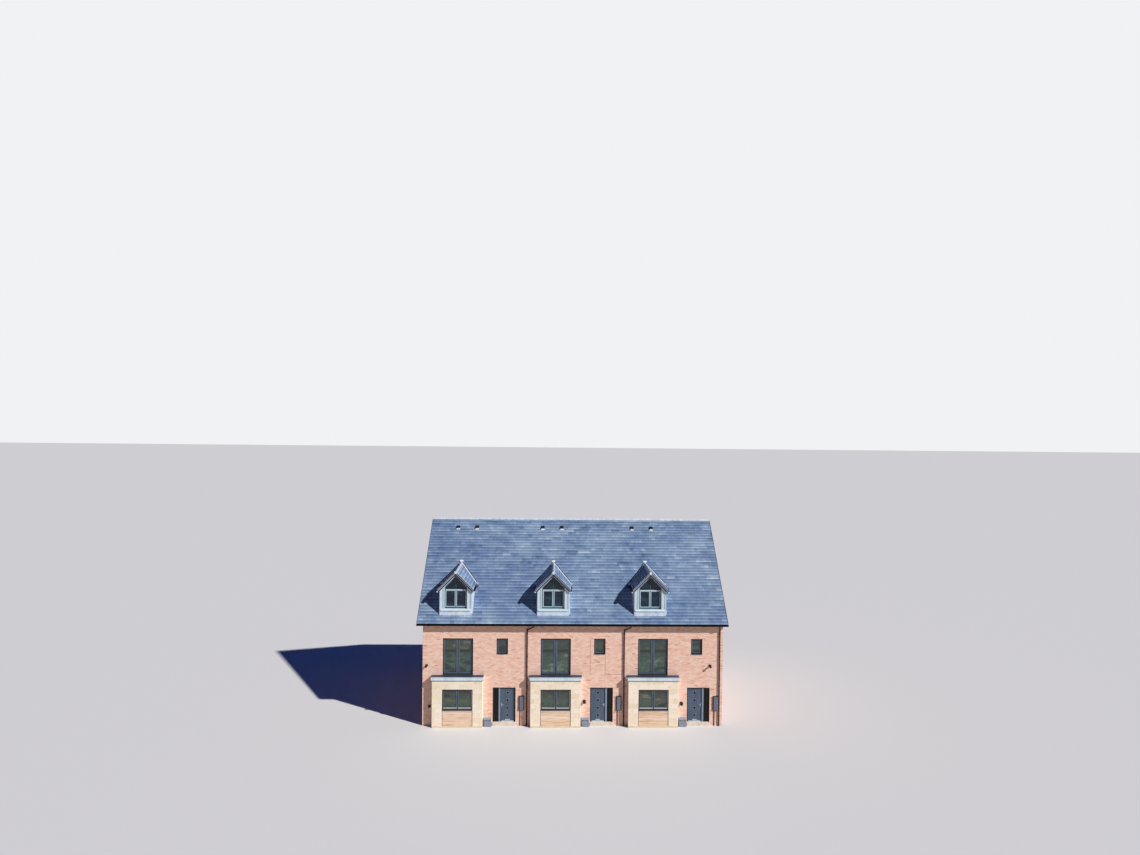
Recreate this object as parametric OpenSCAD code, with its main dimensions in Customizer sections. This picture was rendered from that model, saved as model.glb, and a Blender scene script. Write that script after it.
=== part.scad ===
// Row of three terraced houses with box bays, glazed gable dormers and a slate roof.
// Millimetres. X runs along the row, Y to the rear and Z up from the ground.
// The origin is on the ground, under the middle of the middle house.

/* [Row] */
// Width of one house, from party line to party line
house_pitch = 5900; // [5850:10:6000]
// Brick wall beyond the outer party line of the left end house
left_margin = 290; // [250:10:320]
// Brick wall beyond the outer party line of the right end house
right_margin = 190; // [170:10:250]
// Depth from the front brick face to the rear brick face
house_depth = 10500; // [10300:50:10700]
// Thickness of an outer cavity wall
wall_t = 315; // [300:5:340]
// Thickness of a party wall
party_t = 250; // [215:5:280]

/* [Storeys] */
// Top of the ground floor above the ground
ground_floor_z = 200; // [150:10:205]
// Underside of the lintels over the front doors and in the bays
door_head_z = 2310; // [2300:5:2330]
// Top of the first floor
first_floor_z = 2900; // [2850:10:2950]
// Thickness of the first floor
first_floor_t = 300; // [250:10:320]
// Top of the second floor, under the roof
second_floor_z = 5700; // [5650:10:5750]
// Thickness of the second floor
second_floor_t = 250; // [200:10:280]

/* [Main roof] */
// Pitch of both slopes
roof_pitch = 45; // [43:1:46]
// Height of the slates straight above the outer face of the wall
slates_at_wall_z = 6590; // [6580:5:6620]
// Thickness of slates, battens and rafters, measured straight down
roof_t = 354; // [320:2:380]
// Distance of the lowest slate edge in front of the brickwork
eaves_out = 320; // [300:5:340]
// Thickness of the slate edge at the eaves, measured straight down
slate_edge_t = 60; // [40:5:70]
// Distance of the fascia in front of the brickwork
fascia_out = 230; // [210:5:240]
// Thickness of the fascia boards and bargeboards
board_t = 25; // [20:1:30]
// Bottom of the fascia boards
fascia_z = 6120; // [6110:5:6130]
// Bottom of the soffit boards
soffit_z = 6140; // [6135:5:6150]
// Thickness of the soffit boards
soffit_t = 12; // [9:1:18]
// Distance of the roof's end boards beyond the left gable wall
left_verge_out = 340; // [240:10:360]
// Distance of the roof's end boards beyond the right gable wall
right_verge_out = 260; // [240:10:300]

/* [Gutters and downpipes] */
// Width of the deep gutters on the main eaves
gutter_w = 120; // [110:2:124]
// Thickness of the gutter's shell
gutter_t = 6; // [4:1:8]
// Diameter of a downpipe
pipe_d = 68; // [60:1:75]
// Height of the sloping neck under the gutter
neck_drop = 280; // [240:10:320]

/* [Box bays] */
// Left edge of a bay's stone face, from the middle of its house
bay_x0 = -2620; // [-2650:5:-2600]
// Right edge of a bay's stone face, from the middle of its house
bay_x1 = 400; // [380:5:420]
// Distance of the stone face in front of the brickwork
bay_out = 340; // [320:5:500]
// Thickness of the bay's front wall
bay_front_t = 250; // [220:5:260]
// Thickness of the bay's side walls
bay_side_t = 215; // [200:5:230]
// Top of the low plinth under the piers and boards
plinth_z = 100; // [80:5:165]
// Depth of the recess that holds the infill boards
panel_recess = 60; // [50:5:75]
// Bottom of the bay window's opening
bay_sill_z = 1090; // [1050:10:1100]
// Underside of the bay's roof
bay_roof_z = 2820; // [2800:5:2850]
// Height of the bay's roof edge
bay_roof_h = 250; // [240:5:290]
// Overhang of the bay's roof over the stone
bay_roof_out = 60; // [50:5:80]

/* [Front windows] */
// Left edge of the wide windows, from the middle of their house
wide_x0 = -2030; // [-2050:10:-2000]
// Width of the wide windows
wide_w = 1820; // [1780:10:1850]
// Top of all first-floor windows
upper_head_z = 5290; // [5250:10:5320]
// Left edge of the small windows, from the middle of their house
small_x0 = 1200; // [1180:10:1240]
// Width of the small windows
small_w = 690; // [650:10:720]
// Height of the small windows
small_h = 950; // [900:10:1000]
// Distance of the window frames behind the brick face
frame_set = 65; // [55:5:90]
// Width of a window frame's members, seen from the front
frame_w = 60; // [50:2:70]
// Depth of a window frame
frame_d = 70; // [60:2:80]
// Width of the stiles and rails of the sashes in the tall windows
tall_sash_w = 65; // [50:5:75]
// Width of the stiles and rails of all other sashes
sash_w = 42; // [35:1:50]
// Thickness of a sealed glass unit
glass_t = 24; // [20:1:28]

/* [Front doors] */
// Left edge of a door set, from the middle of its house
door_x0 = 990; // [980:5:1010]
// Width of a door set with its side light
door_set_w = 1380; // [1370:5:1400]
// Width of a door leaf
leaf_w = 850; // [840:5:860]
// Thickness of a door leaf
leaf_t = 44; // [40:1:46]
// Gap between the leaf and the hinge jamb, head and threshold
leaf_gap = 6; // [6:1:8]
// Gap between the leaf and the middle post
latch_gap = 8; // [8:1:10]
// Side of the four square lights in a leaf
light_w = 140; // [110:5:150]

/* [Dormers] */
// Middle of a dormer, from the middle of its house
dormer_dx = -1300; // [-1330:10:-1200]
// Width over a dormer's side walls
dormer_w = 1940; // [1900:10:1980]
// Distance of a dormer's face behind the front brick face
dormer_set = 120; // [100:5:140]
// Thickness of a dormer's front wall
dormer_front_t = 150; // [140:5:170]
// Thickness of a dormer's side walls
cheek_t = 140; // [120:5:150]
// Top of a dormer's slate slopes at their ridge
dormer_ridge_z = 9300; // [9270:5:9320]
// Thickness of a dormer's roof, measured straight down
dormer_roof_t = 170; // [150:5:190]
// Distance of a dormer's roof edge from its middle
dormer_eaves = 1065; // [1050:5:1090]
// Width of a dormer's window
dormer_win_w = 1360; // [1320:10:1400]
// Bottom of a dormer's window
dormer_sill_z = 7060; // [7030:5:7080]
// Middle of the transom between the casements and the gable lights
dormer_transom_z = 8185; // [8150:5:8210]
// Height of the pale board under each slope of the gable, measured straight down
dormer_trim_h = 90; // [70:5:110]

/* [Rear] */
// Left edge of the rear doors, from the middle of their house
rear_door_x0 = 1150; // [1100:10:1200]
// Width of the rear doors with their frames
rear_door_w = 950; // [900:10:1000]
// Bottom of the first-floor rear windows
rear_sill_z = 4090; // [4000:10:4200]
// Width of a rooflight's clear opening
rooflight_w = 780; // [660:10:800]
// Length of a rooflight's clear opening down the slope
rooflight_l = 1180; // [980:10:1200]

/* [Hidden] */
$fn = 32;

// Places along the row and through its depth
house_x = [-house_pitch, 0, house_pitch];
row_x0 = -1.5 * house_pitch - left_margin;
row_x1 = 1.5 * house_pitch + right_margin;
wall_y = house_depth / 2;
room_y = wall_y - wall_t;
cut = 50;

// The main roof: a point at distance y from the ridge line, on the slates and under the rafters
slope = tan(roof_pitch);
ridge_z = slates_at_wall_z + wall_y * slope;
eaves_y = wall_y + eaves_out;
fascia_y = wall_y + fascia_out;
verge_x0 = row_x0 - left_verge_out;
verge_x1 = row_x1 + right_verge_out;
function roof_top(y) = ridge_z - abs(y) * slope;
function roof_under(y) = roof_top(y) - roof_t;

// Clear inside of a bay, from the middle of its house
bay_in0 = bay_x0 + bay_side_t;
bay_in1 = bay_x1 - bay_side_t;
bay_face_y = -wall_y - bay_out;
bay_back_y = bay_face_y + bay_front_t;
bay_board_y = bay_face_y + panel_recess;

// The bay window and the boards below it share one width; the tall window stands on the bay's roof
bay_win_x0 = wide_x0 + 20;
bay_win_x1 = bay_win_x0 + wide_w;
tall_sill_z = bay_roof_z + bay_roof_h;

// Frames, panes and sills
sill_t = 25;
front_frame_y = -wall_y + frame_set;
bay_frame_y = bay_face_y + frame_set;
rear_frame_y = wall_y - frame_set - frame_d;
pane_set = (frame_d - glass_t) / 2;
sash_proud = 12;

// Door sets: each is laid out from its hinge side and mirrored for the left house
door_mirrored = [true, false, false];
jamb_w = 50;
head_w = 55;
stop_w = 12;
stop_d = 25;
threshold_z = ground_floor_z + 10;
leaf_x0 = jamb_w + leaf_gap;
leaf_x1 = leaf_x0 + leaf_w;
post_x0 = leaf_x1 + latch_gap;
post_w = 110;
end_jamb_w = 60;
set_y0 = -wall_y + frame_set;
leaf_y0 = set_y0 + stop_d + 5;
leaf_y1 = leaf_y0 + leaf_t;
leaf_z0 = threshold_z + leaf_gap + 1;
leaf_z1 = door_head_z - head_w - leaf_gap;
light_z = [for (i = [0:3]) 592 + i * 458];

// Dormers
dormer_y0 = -wall_y + dormer_set;
dormer_y1 = dormer_y0 + dormer_front_t;
dormer_half = dormer_w / 2;
dormer_in = dormer_half - cheek_t;
dormer_under = dormer_ridge_z - dormer_roof_t;
dormer_roof_y0 = dormer_y0 - 95;
dormer_sill_t = 120;
dormer_sill_out = 75;
dormer_rail = 100;
gable_mullion = 40;
frame_slant = 85;
dormer_glaze_top = dormer_under - dormer_trim_h;

// One prism along the row from an outline drawn in Y and Z
module along_x(x0, x1) translate([x0, 0, 0]) rotate([90, 0, 90]) linear_extrude(x1 - x0) children();

// One prism from y0 to y1 from an outline drawn in X and Z
module along_y(y0, y1) translate([0, y1, 0]) rotate([90, 0, 0]) linear_extrude(y1 - y0) children();

// A block given by its two corners
module block(low, high) translate(low) cube(high - low);

// A round bar between two points
module bar(p, q, d) {
    v = q - p;
    translate(p) rotate([0, acos(v[2] / norm(v)), atan2(v[1], v[0])]) cylinder(h = norm(v), d = d);
}

// The children once for each house, and once for each dormer
module each_house() for (x = house_x) translate([x, 0, 0]) children();
module each_dormer() for (x = house_x) translate([x + dormer_dx, 0, 0]) children();

// The children at a house's door set, laid out from its hinge jamb
module door_set(i) {
    side = door_mirrored[i] ? door_x0 + door_set_w : door_x0;
    translate([house_x[i] + side, 0, 0]) mirror([door_mirrored[i] ? 1 : 0, 0, 0]) children();
}

// Side faces of each house's rooms
function room_x0(i) = i == 0 ? row_x0 + wall_t : (i - 1.5) * house_pitch + party_t / 2;
function room_x1(i) = i == 2 ? row_x1 - wall_t : (i - 0.5) * house_pitch - party_t / 2;

// A floor of each house between its walls
module room_floors(z0, z1)
    for (i = [0:2]) block([room_x0(i), -room_y, z0], [room_x1(i), room_y, z1]);

// Everything under the slates of the front slope, for cutting dormers to it
module under_front_slates() along_x(-dormer_w, dormer_w) polygon([
    [0, ridge_z], [-wall_y - 2000, roof_top(wall_y + 2000)],
    [-wall_y - 2000, 0], [0, 0]
]);

// Section of one slope with its thin slate edge, boxed eaves and wall seat
module slope_section() polygon([
    [0, ridge_z],
    [-eaves_y, roof_top(eaves_y)],
    [-eaves_y, roof_top(eaves_y) - slate_edge_t],
    [-fascia_y, roof_top(fascia_y) - slate_edge_t],
    [-fascia_y + board_t, roof_top(fascia_y) - slate_edge_t],
    [-fascia_y + board_t, soffit_z + soffit_t],
    [-wall_y, soffit_z + soffit_t],
    [-wall_y, roof_under(wall_y)],
    [0, roof_under(0)]
]);

// Section of a wall that carries the roof, from z0 up
module wall_section(z0) polygon([
    [-wall_y, z0], [-room_y, z0], [-room_y, roof_under(room_y)], [-wall_y, roof_under(wall_y)]
]);

// Outline of a cross wall up to the rafters
module cross_wall_section() polygon([
    [-room_y, 0], [room_y, 0], [room_y, roof_under(room_y)],
    [0, roof_under(0)], [-room_y, roof_under(room_y)]
]);

// A rectangle from corner to corner
module rect(x0, z0, x1, z1) translate([x0, z0]) square([x1 - x0, z1 - z0]);

// The lights of a window, side by side, each drawn in by the width of its sash
module light_outlines(x0, z0, x1, z1, lights, inset) {
    step = (x1 - x0 - frame_w) / lights;
    for (i = [0:lights - 1]) rect(
        x0 + frame_w + i * step + inset, z0 + frame_w + inset,
        x0 + (i + 1) * step - inset, z1 - frame_w - inset
    );
}

// Window from its outer frame face at y: the frame, and sashes that stand proud of it
module window_frame(y, x0, z0, x1, z1, lights, sash) {
    along_y(y, y + frame_d) difference() {
        rect(x0, z0, x1, z1);
        light_outlines(x0, z0, x1, z1, lights, sash);
    }
    lap = 14;
    along_y(y - sash_proud, y) difference() {
        light_outlines(x0, z0, x1, z1, lights, -lap);
        light_outlines(x0, z0, x1, z1, lights, sash);
    }
}

// The panes of the same window
module window_panes(y, x0, z0, x1, z1, lights, sash)
    along_y(y + pane_set, y + pane_set + glass_t) light_outlines(x0, z0, x1, z1, lights, sash);

module ground_floors() color("#b9b4aa") {
    room_floors(0, ground_floor_z);
    each_house() block([bay_in0, bay_back_y, 0], [bay_in1, -room_y, ground_floor_z]);
}

module first_floors() color("#c8b491") room_floors(first_floor_z - first_floor_t, first_floor_z);

module second_floors() color("#c8b491") room_floors(second_floor_z - second_floor_t, second_floor_z);

// Brick piers beside the bays and doorways, up to the lintels
module front_wall_piers() color("#d9936f") {
    edges = concat(
        [row_x0],
        [for (x = house_x, e = [bay_in0, bay_in1, door_x0, door_x0 + door_set_w]) x + e],
        [row_x1]
    );
    for (i = [0:2:len(edges) - 2])
        block([edges[i], -wall_y, 0], [edges[i + 1], -room_y, door_head_z]);
}

// Front brickwork over the doorways and bays, cut for the first-floor windows
module front_wall_upper() color("#d9936f") difference() {
    along_x(row_x0, row_x1) wall_section(door_head_z);
    each_house() along_y(-wall_y - cut, -room_y + cut) {
        rect(wide_x0, tall_sill_z, wide_x0 + wide_w, upper_head_z);
        rect(small_x0, upper_head_z - small_h, small_x0 + small_w, upper_head_z);
    }
}

// Rear brickwork of the ground storey, cut for a door and a window in each house
module rear_wall_lower() color("#d9936f") difference() {
    block([row_x0, room_y, 0], [row_x1, wall_y, first_floor_z - first_floor_t]);
    each_house() along_y(room_y - cut, wall_y + cut) {
        rect(rear_door_x0, ground_floor_z, rear_door_x0 + rear_door_w, door_head_z);
        rect(wide_x0, bay_sill_z, wide_x0 + wide_w, door_head_z);
    }
}

// Rear brickwork of the upper storey, cut for two windows in each house
module rear_wall_upper() color("#d9936f") difference() {
    mirror([0, 1, 0]) along_x(row_x0, row_x1) wall_section(first_floor_z - first_floor_t);
    each_house() along_y(room_y - cut, wall_y + cut) {
        rect(wide_x0, rear_sill_z, wide_x0 + wide_w, upper_head_z);
        rect(small_x0, upper_head_z - small_h, small_x0 + small_w, upper_head_z);
    }
}

module gable_wall_left() color("#d9936f") along_x(row_x0, row_x0 + wall_t) cross_wall_section();

module gable_wall_right() color("#d9936f") along_x(row_x1 - wall_t, row_x1) cross_wall_section();

module party_walls() color("#c9c2b8") for (x = [-house_pitch / 2, house_pitch / 2])
    along_x(x - party_t / 2, x + party_t / 2) cross_wall_section();

// Inside of a dormer carried down through the slope
module dormer_well() along_y(dormer_y1, 0) polygon([
    [-dormer_in, second_floor_z], [dormer_in, second_floor_z],
    [dormer_in, dormer_under - dormer_in], [0, dormer_under], [-dormer_in, dormer_under - dormer_in]
]);

module roof_front() color("#7185a6") difference() {
    along_x(verge_x0 + board_t, verge_x1 - board_t) slope_section();
    each_dormer() dormer_well();
}

// Places of the rooflights, square to the rear slope at the slates
rooflight_y = 2900;
module at_rooflights() each_house()
    translate([0, rooflight_y, roof_top(rooflight_y)]) rotate([-roof_pitch, 0, 0]) children();

module roof_rear() color("#7185a6") difference() {
    mirror([0, 1, 0]) along_x(verge_x0 + board_t, verge_x1 - board_t) slope_section();
    at_rooflights() cube([rooflight_w, rooflight_l, 3 * roof_t], center = true);
}

// Angled ridge tiles lying on both slopes
module ridge_tiles() color("#c9cdd6") {
    reach = 110;
    tile_t = 20;
    along_x(verge_x0, verge_x1) polygon([
        [0, ridge_z], [-reach, roof_top(reach)], [-reach, roof_top(reach) + tile_t],
        [0, ridge_z + tile_t], [reach, roof_top(reach) + tile_t], [reach, roof_top(reach)]
    ]);
}

// End boards that close both slopes over the gable walls
module bargeboards() color("#3b3f45")
    for (x = [verge_x0, verge_x1 - board_t]) along_x(x, x + board_t) {
        slope_section();
        mirror([1, 0]) slope_section();
    }

// Fascia and soffit boards under the front and rear slate edges
module eaves_boards() color("#2f3338")
    for (turn = [0, 1]) mirror([0, turn, 0]) along_x(verge_x0 + board_t, verge_x1 - board_t) {
        rect(-fascia_y, fascia_z, -fascia_y + board_t, roof_top(fascia_y) - slate_edge_t);
        rect(-fascia_y, soffit_z, -wall_y, soffit_z + soffit_t);
    }

// Deep channel with a round bottom, hanging from its top left corner
module gutter_section(w, side_h, t) difference() {
    union() {
        circle(d = w);
        rect(-w / 2, 0, w / 2, side_h);
    }
    circle(d = w - 2 * t);
    rect(-w / 2 + t, 0, w / 2 - t, side_h + cut);
}

dormer_gutter_w = 76;
dormer_gutter_z = dormer_ridge_z - dormer_eaves - dormer_roof_t + 40;

module gutters() color("#26282b") {
    for (turn = [0, 1]) mirror([0, turn, 0]) along_x(verge_x0, verge_x1)
        translate([-fascia_y - gutter_w / 2, fascia_z + gutter_w / 2])
            gutter_section(gutter_w, 45, gutter_t);
    each_dormer() for (turn = [0, 1]) mirror([turn, 0, 0]) difference() {
        along_y(dormer_roof_y0, 0)
            translate([dormer_eaves + dormer_gutter_w / 2, dormer_gutter_z])
                gutter_section(dormer_gutter_w, 20, 4);
        under_front_slates();
    }
}

// Pipe at x on the wall face, fed by a sloping neck from an outlet at x + shift
module downpipe(x, shift) {
    outlet = [x + shift, -fascia_y - gutter_w / 2, fascia_z];
    knee = outlet - [0, 0, 60];
    foot = [x, -wall_y - pipe_d / 2 - 25, outlet[2] - neck_drop];
    bar(knee, outlet, pipe_d);
    bar(foot, knee, pipe_d);
    bar([foot[0], foot[1], 0], foot, pipe_d);
    for (p = [knee, foot]) translate(p) sphere(d = pipe_d + 12);
}

module downpipes() color("#2b211e") {
    neck_run = 370;
    downpipe(-house_pitch / 2 + 100, neck_run);
    downpipe(house_pitch / 2 + 80, neck_run);
    downpipe(row_x1 - 200, -60);
    for (side = [-1, 1]) mirror([0, 1, 0]) downpipe(side * house_pitch / 2, neck_run);
}

// Two low vents on the front slope of each house, close to the ridge
module roof_vents() color("#3f444c") {
    vent_w = 230;
    vent_y = 540;
    vent_dx = [[-1780, -520], [-2030, -760], [-1960, -670]];
    for (i = [0:2], dx = vent_dx[i])
        translate([house_x[i] + dx, -vent_y, roof_top(vent_y)]) rotate([roof_pitch, 0, 0])
            translate([-vent_w / 2, -130, 0]) rotate([90, 0, 90]) linear_extrude(vent_w)
                polygon([[0, 0], [260, 0], [230, 30], [30, 90], [0, 90]]);
}

// Round black terminals on the front wall: house, distance from its middle, height, diameter and reach
terminals = [
    [0, -2810, 1190, 150, 130], [1, 630, 1470, 190, 150], [2, 640, 1360, 190, 150],
    [0, -3000, 3650, 150, 230], [2, 2360, 3660, 150, 230]
];
module flue_terminals() color("#1d1e20") {
    cap_h = 35;
    for (t = terminals) translate([house_x[t[0]] + t[1], -wall_y, t[2]]) rotate([90, 0, 0]) {
        cylinder(h = t[4], d = t[3] * 0.7);
        translate([0, 0, t[4] - cap_h]) cylinder(h = cap_h, d = t[3]);
        cylinder(h = 12, d = t[3] * 1.15);
    }
}

// Outline of a shape with a gable top: half width, bottom, and top at the middle
module gable_outline(half, z0, top) polygon([
    [-half, z0], [half, z0], [half, top - half], [0, top], [-half, top - half]
]);

// Pale front of a dormer: edged pilasters and gable boards round the window, above a sloping sill
module dormer_fronts() color("#cfdbe2") each_dormer() difference() {
    strip_w = 70;
    strip_t = 20;
    union() {
        along_y(dormer_y0, dormer_y1) gable_outline(dormer_half, second_floor_z, dormer_under);
        along_y(dormer_y0 - strip_t, dormer_y0) difference() {
            gable_outline(dormer_half, second_floor_z, dormer_under);
            for (turn = [0, 1]) mirror([turn, 0]) polygon([
                [dormer_win_w / 2 + strip_w, dormer_sill_z],
                [dormer_half - strip_w, dormer_sill_z],
                [dormer_half - strip_w, dormer_glaze_top - dormer_half + strip_w],
                [dormer_win_w / 2 + strip_w, dormer_glaze_top - dormer_win_w / 2 - strip_w]
            ]);
        }
        along_x(-dormer_half + 60, dormer_half - 60) polygon([
            [dormer_y0, dormer_sill_z - 10], [dormer_y0, dormer_sill_z - dormer_sill_t],
            [dormer_y0 - dormer_sill_out, dormer_sill_z - dormer_sill_t],
            [dormer_y0 - dormer_sill_out, dormer_sill_z - dormer_sill_t + 25]
        ]);
    }
    along_y(dormer_y0 - 2 * cut, dormer_y1 + cut)
        gable_outline(dormer_win_w / 2, dormer_sill_z, dormer_glaze_top);
    under_front_slates();
}

// Side walls of the dormers, from the slates to the dormer roof
module dormer_cheeks() color("#c3c9d6") each_dormer()
    for (turn = [0, 1]) mirror([turn, 0, 0]) difference() {
        along_y(dormer_y1, 0) polygon([
            [dormer_in, second_floor_z], [dormer_half, second_floor_z],
            [dormer_half, dormer_under - dormer_half], [dormer_in, dormer_under - dormer_in]
        ]);
        under_front_slates();
    }

// Section of a sheet that folds over the dormer ridge: half width, lift above the slates, thickness
module fold_section(half, lift, t) polygon([
    [0, dormer_ridge_z + lift], [half, dormer_ridge_z + lift - half],
    [half, dormer_ridge_z + lift - half - t], [0, dormer_ridge_z + lift - t],
    [-half, dormer_ridge_z + lift - half - t], [-half, dormer_ridge_z + lift - half]
]);

// Slated roofs of the dormers, cut to the main slope along their valleys
module dormer_roofs() color("#7185a6") each_dormer() difference() {
    along_y(dormer_roof_y0, 0) fold_section(dormer_eaves, 0, dormer_roof_t);
    under_front_slates();
}

// Two boards with a thin cover strip along the edges of each dormer gable
module dormer_bargeboards() color("#c3c6d8") each_dormer() {
    along_y(dormer_roof_y0 - board_t, dormer_roof_y0) fold_section(dormer_eaves + 12, 14, 125);
    along_y(dormer_roof_y0 - board_t - 12, dormer_roof_y0 - board_t) fold_section(dormer_eaves + 12, 14, 40);
}

// Lead over the dormer ridges with a round roll, its tongue over the apex of the boards, and lead
// down both valleys to a flared end, and as aprons below the sills
module dormer_flashings() color("#c9ccd8") each_dormer() {
    lead_t = 14;
    valley_w = 90;
    valley_y = dormer_ridge_z - ridge_z;
    valley_half = dormer_eaves + 50;
    flare = 90;
    apron_run = 45;
    apron_t = 12;
    apron_y = dormer_y0 - 20;
    tongue_y = dormer_roof_y0 - board_t - 12;
    along_y(tongue_y - 10, tongue_y) translate([0, dormer_ridge_z - 30]) circle(d = 170);
    difference() {
        union() {
            along_y(dormer_roof_y0 - 20, 0) fold_section(100, lead_t, lead_t);
            along_y(tongue_y, 0) translate([0, dormer_ridge_z + 22]) circle(d = 60);
        }
        along_y(dormer_roof_y0 - 100, dormer_roof_y0) fold_section(dormer_eaves, 14, 400);
        along_y(dormer_roof_y0 - 20, 1) fold_section(dormer_eaves, 0, dormer_roof_t);
        under_front_slates();
    }
    intersection() {
        linear_extrude(ridge_z) for (turn = [0, 1]) mirror([turn, 0]) polygon([
            [0, valley_y], [valley_half, valley_y - valley_half],
            [valley_half + flare, valley_y - valley_half],
            [valley_half + flare, valley_y - valley_half + valley_w],
            [valley_half, valley_y - valley_half + valley_w], [0, valley_y + valley_w]
        ]);
        along_x(-dormer_w, dormer_w) polygon([
            [0, ridge_z], [-wall_y, roof_top(wall_y)], [-wall_y, roof_top(wall_y) + lead_t],
            [0, ridge_z + lead_t]
        ]);
    }
    along_x(-dormer_half, dormer_half) polygon([
        [apron_y, dormer_sill_z - dormer_sill_t],
        [apron_y, roof_top(apron_y)],
        [apron_y - apron_run, roof_top(apron_y - apron_run)],
        [apron_y - apron_run, roof_top(apron_y - apron_run) + apron_t],
        [apron_y - apron_t, roof_top(apron_y - apron_t) + apron_t],
        [apron_y - apron_t, dormer_sill_z - dormer_sill_t]
    ]);
}

// The two casements of a dormer's window, drawn in by the width of their sashes
module dormer_casements(inset) for (turn = [0, 1]) mirror([turn, 0]) rect(
    frame_w / 2 + inset, dormer_sill_z + dormer_rail + inset,
    dormer_win_w / 2 - frame_w - inset, dormer_transom_z - frame_w / 2 - inset
);

// The two slanting lights in the gable above them
module dormer_gable_lights() for (turn = [0, 1]) mirror([turn, 0]) {
    inner = gable_mullion / 2;
    outer = dormer_win_w / 2 - frame_w;
    polygon([
        [inner, dormer_transom_z + frame_w / 2], [outer, dormer_transom_z + frame_w / 2],
        [outer, dormer_glaze_top - frame_slant - outer], [inner, dormer_glaze_top - frame_slant - inner]
    ]);
}

module dormer_frames() color("#7f93a1") each_dormer() {
    frame_y = dormer_y1 - frame_d;
    along_y(frame_y, dormer_y1) difference() {
        gable_outline(dormer_win_w / 2, dormer_sill_z, dormer_glaze_top);
        dormer_gable_lights();
        dormer_casements(sash_w);
    }
    along_y(frame_y - sash_proud, frame_y) difference() {
        dormer_casements(-14);
        dormer_casements(sash_w);
    }
}

module dormer_glass() color("#5f7470") each_dormer()
    along_y(dormer_y1 - frame_d + pane_set, dormer_y1 - pane_set) {
        dormer_gable_lights();
        dormer_casements(sash_w);
    }

// Low plinth round each bay, with the wall behind the infill boards
module bay_bases() color("#dcc6a0") each_house() {
    difference() {
        block([bay_x0, bay_face_y, 0], [bay_x1, -wall_y, plinth_z]);
        block([bay_in0, bay_back_y, -cut], [bay_in1, -wall_y + cut, plinth_z + cut]);
    }
    block([bay_win_x0, bay_board_y, plinth_z], [bay_win_x1, bay_back_y, bay_sill_z]);
}

// Stone piers at both sides of the bay windows, returned to the brickwork
module bay_piers() color("#e3cda6") each_house() {
    translate([0, 0, plinth_z]) linear_extrude(door_head_z - plinth_z) {
        rect(bay_x0, bay_face_y, bay_win_x0, bay_back_y);
        rect(bay_x0, bay_face_y, bay_in0, -wall_y);
        rect(bay_win_x1, bay_face_y, bay_x1, bay_back_y);
        rect(bay_in1, bay_face_y, bay_x1, -wall_y);
    }
}

// Stone heads over the bay windows
module bay_heads() color("#e3cda6") each_house()
    block([bay_x0, bay_face_y, door_head_z], [bay_x1, -wall_y, bay_roof_z]);

// Boarded infill under the bay windows, with a shadow gap at both sides
module bay_panels() color("#e6cdb6") each_house() {
    gap = 22;
    board_stack_t = 32;
    under_sill = 50;
    block(
        [bay_win_x0 + gap, bay_board_y - board_stack_t, plinth_z],
        [bay_win_x1 - gap, bay_board_y, bay_sill_z - under_sill]
    );
}

// Flat roofs of the bays: a capping, a deep fascia and a set-back bed; two drain by a spout
module bay_roofs() color("#8fa6b8") {
    top = bay_roof_z + bay_roof_h;
    fascia_reach = bay_roof_out - 14;
    each_house()
        for (layer = [[bay_roof_out - 45, bay_roof_z, bay_roof_z + 30],
                      [fascia_reach, bay_roof_z + 30, top - 40], [bay_roof_out, top - 40, top]])
            block(
                [bay_x0 - layer[0], bay_face_y - layer[0], layer[1]],
                [bay_x1 + layer[0], -wall_y, layer[2]]
            );
    spout_x1 = bay_x0 - fascia_reach;
    for (x = [house_x[1], house_x[2]])
        block([x + spout_x1 - 110, -wall_y - 130, top - 160], [x + spout_x1, -wall_y - 20, top - 60]);
}

// Tall and small windows of the first floor, and the bay windows with slimmer sashes
module front_window_frames() color("#46525b") each_house() {
    wide_x1 = wide_x0 + wide_w;
    small_x1 = small_x0 + small_w;
    small_z = upper_head_z - small_h;
    window_frame(front_frame_y, wide_x0, tall_sill_z + sill_t, wide_x1, upper_head_z, 2, tall_sash_w);
    window_frame(front_frame_y, small_x0, small_z + sill_t, small_x1, upper_head_z, 1, sash_w);
    window_frame(bay_frame_y, bay_win_x0, bay_sill_z + sill_t, bay_win_x1, door_head_z, 2, sash_w);
}

module front_window_glass() color("#4f625d") {
    wide_x1 = wide_x0 + wide_w;
    small_x1 = small_x0 + small_w;
    small_z = upper_head_z - small_h;
    each_house() {
        window_panes(front_frame_y, wide_x0, tall_sill_z + sill_t, wide_x1, upper_head_z, 2, tall_sash_w);
        window_panes(front_frame_y, small_x0, small_z + sill_t, small_x1, upper_head_z, 1, sash_w);
        window_panes(bay_frame_y, bay_win_x0, bay_sill_z + sill_t, bay_win_x1, door_head_z, 2, sash_w);
    }
    for (i = [0:2]) door_set(i) along_y(set_y0 + pane_set, set_y0 + pane_set + glass_t)
        rect(post_x0 + post_w, threshold_z + frame_w, door_set_w - end_jamb_w, door_head_z - head_w);
}

// Metal sills under the front windows; those of the bays turn down over the infill boards
module window_sills() color("#525c66") each_house() {
    nose = 30;
    bay_nose_y = bay_face_y - 15;
    turn_down = 45;
    spans = [[wide_x0, wide_w, tall_sill_z], [small_x0, small_w, upper_head_z - small_h]];
    for (s = spans) block([s[0], -wall_y - nose, s[2]], [s[0] + s[1], -room_y, s[2] + sill_t]);
    block([bay_win_x0, bay_nose_y, bay_sill_z], [bay_win_x1, bay_back_y, bay_sill_z + sill_t]);
    block([bay_win_x0, bay_nose_y, bay_sill_z - turn_down], [bay_win_x1, bay_board_y, bay_sill_z]);
}

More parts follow.
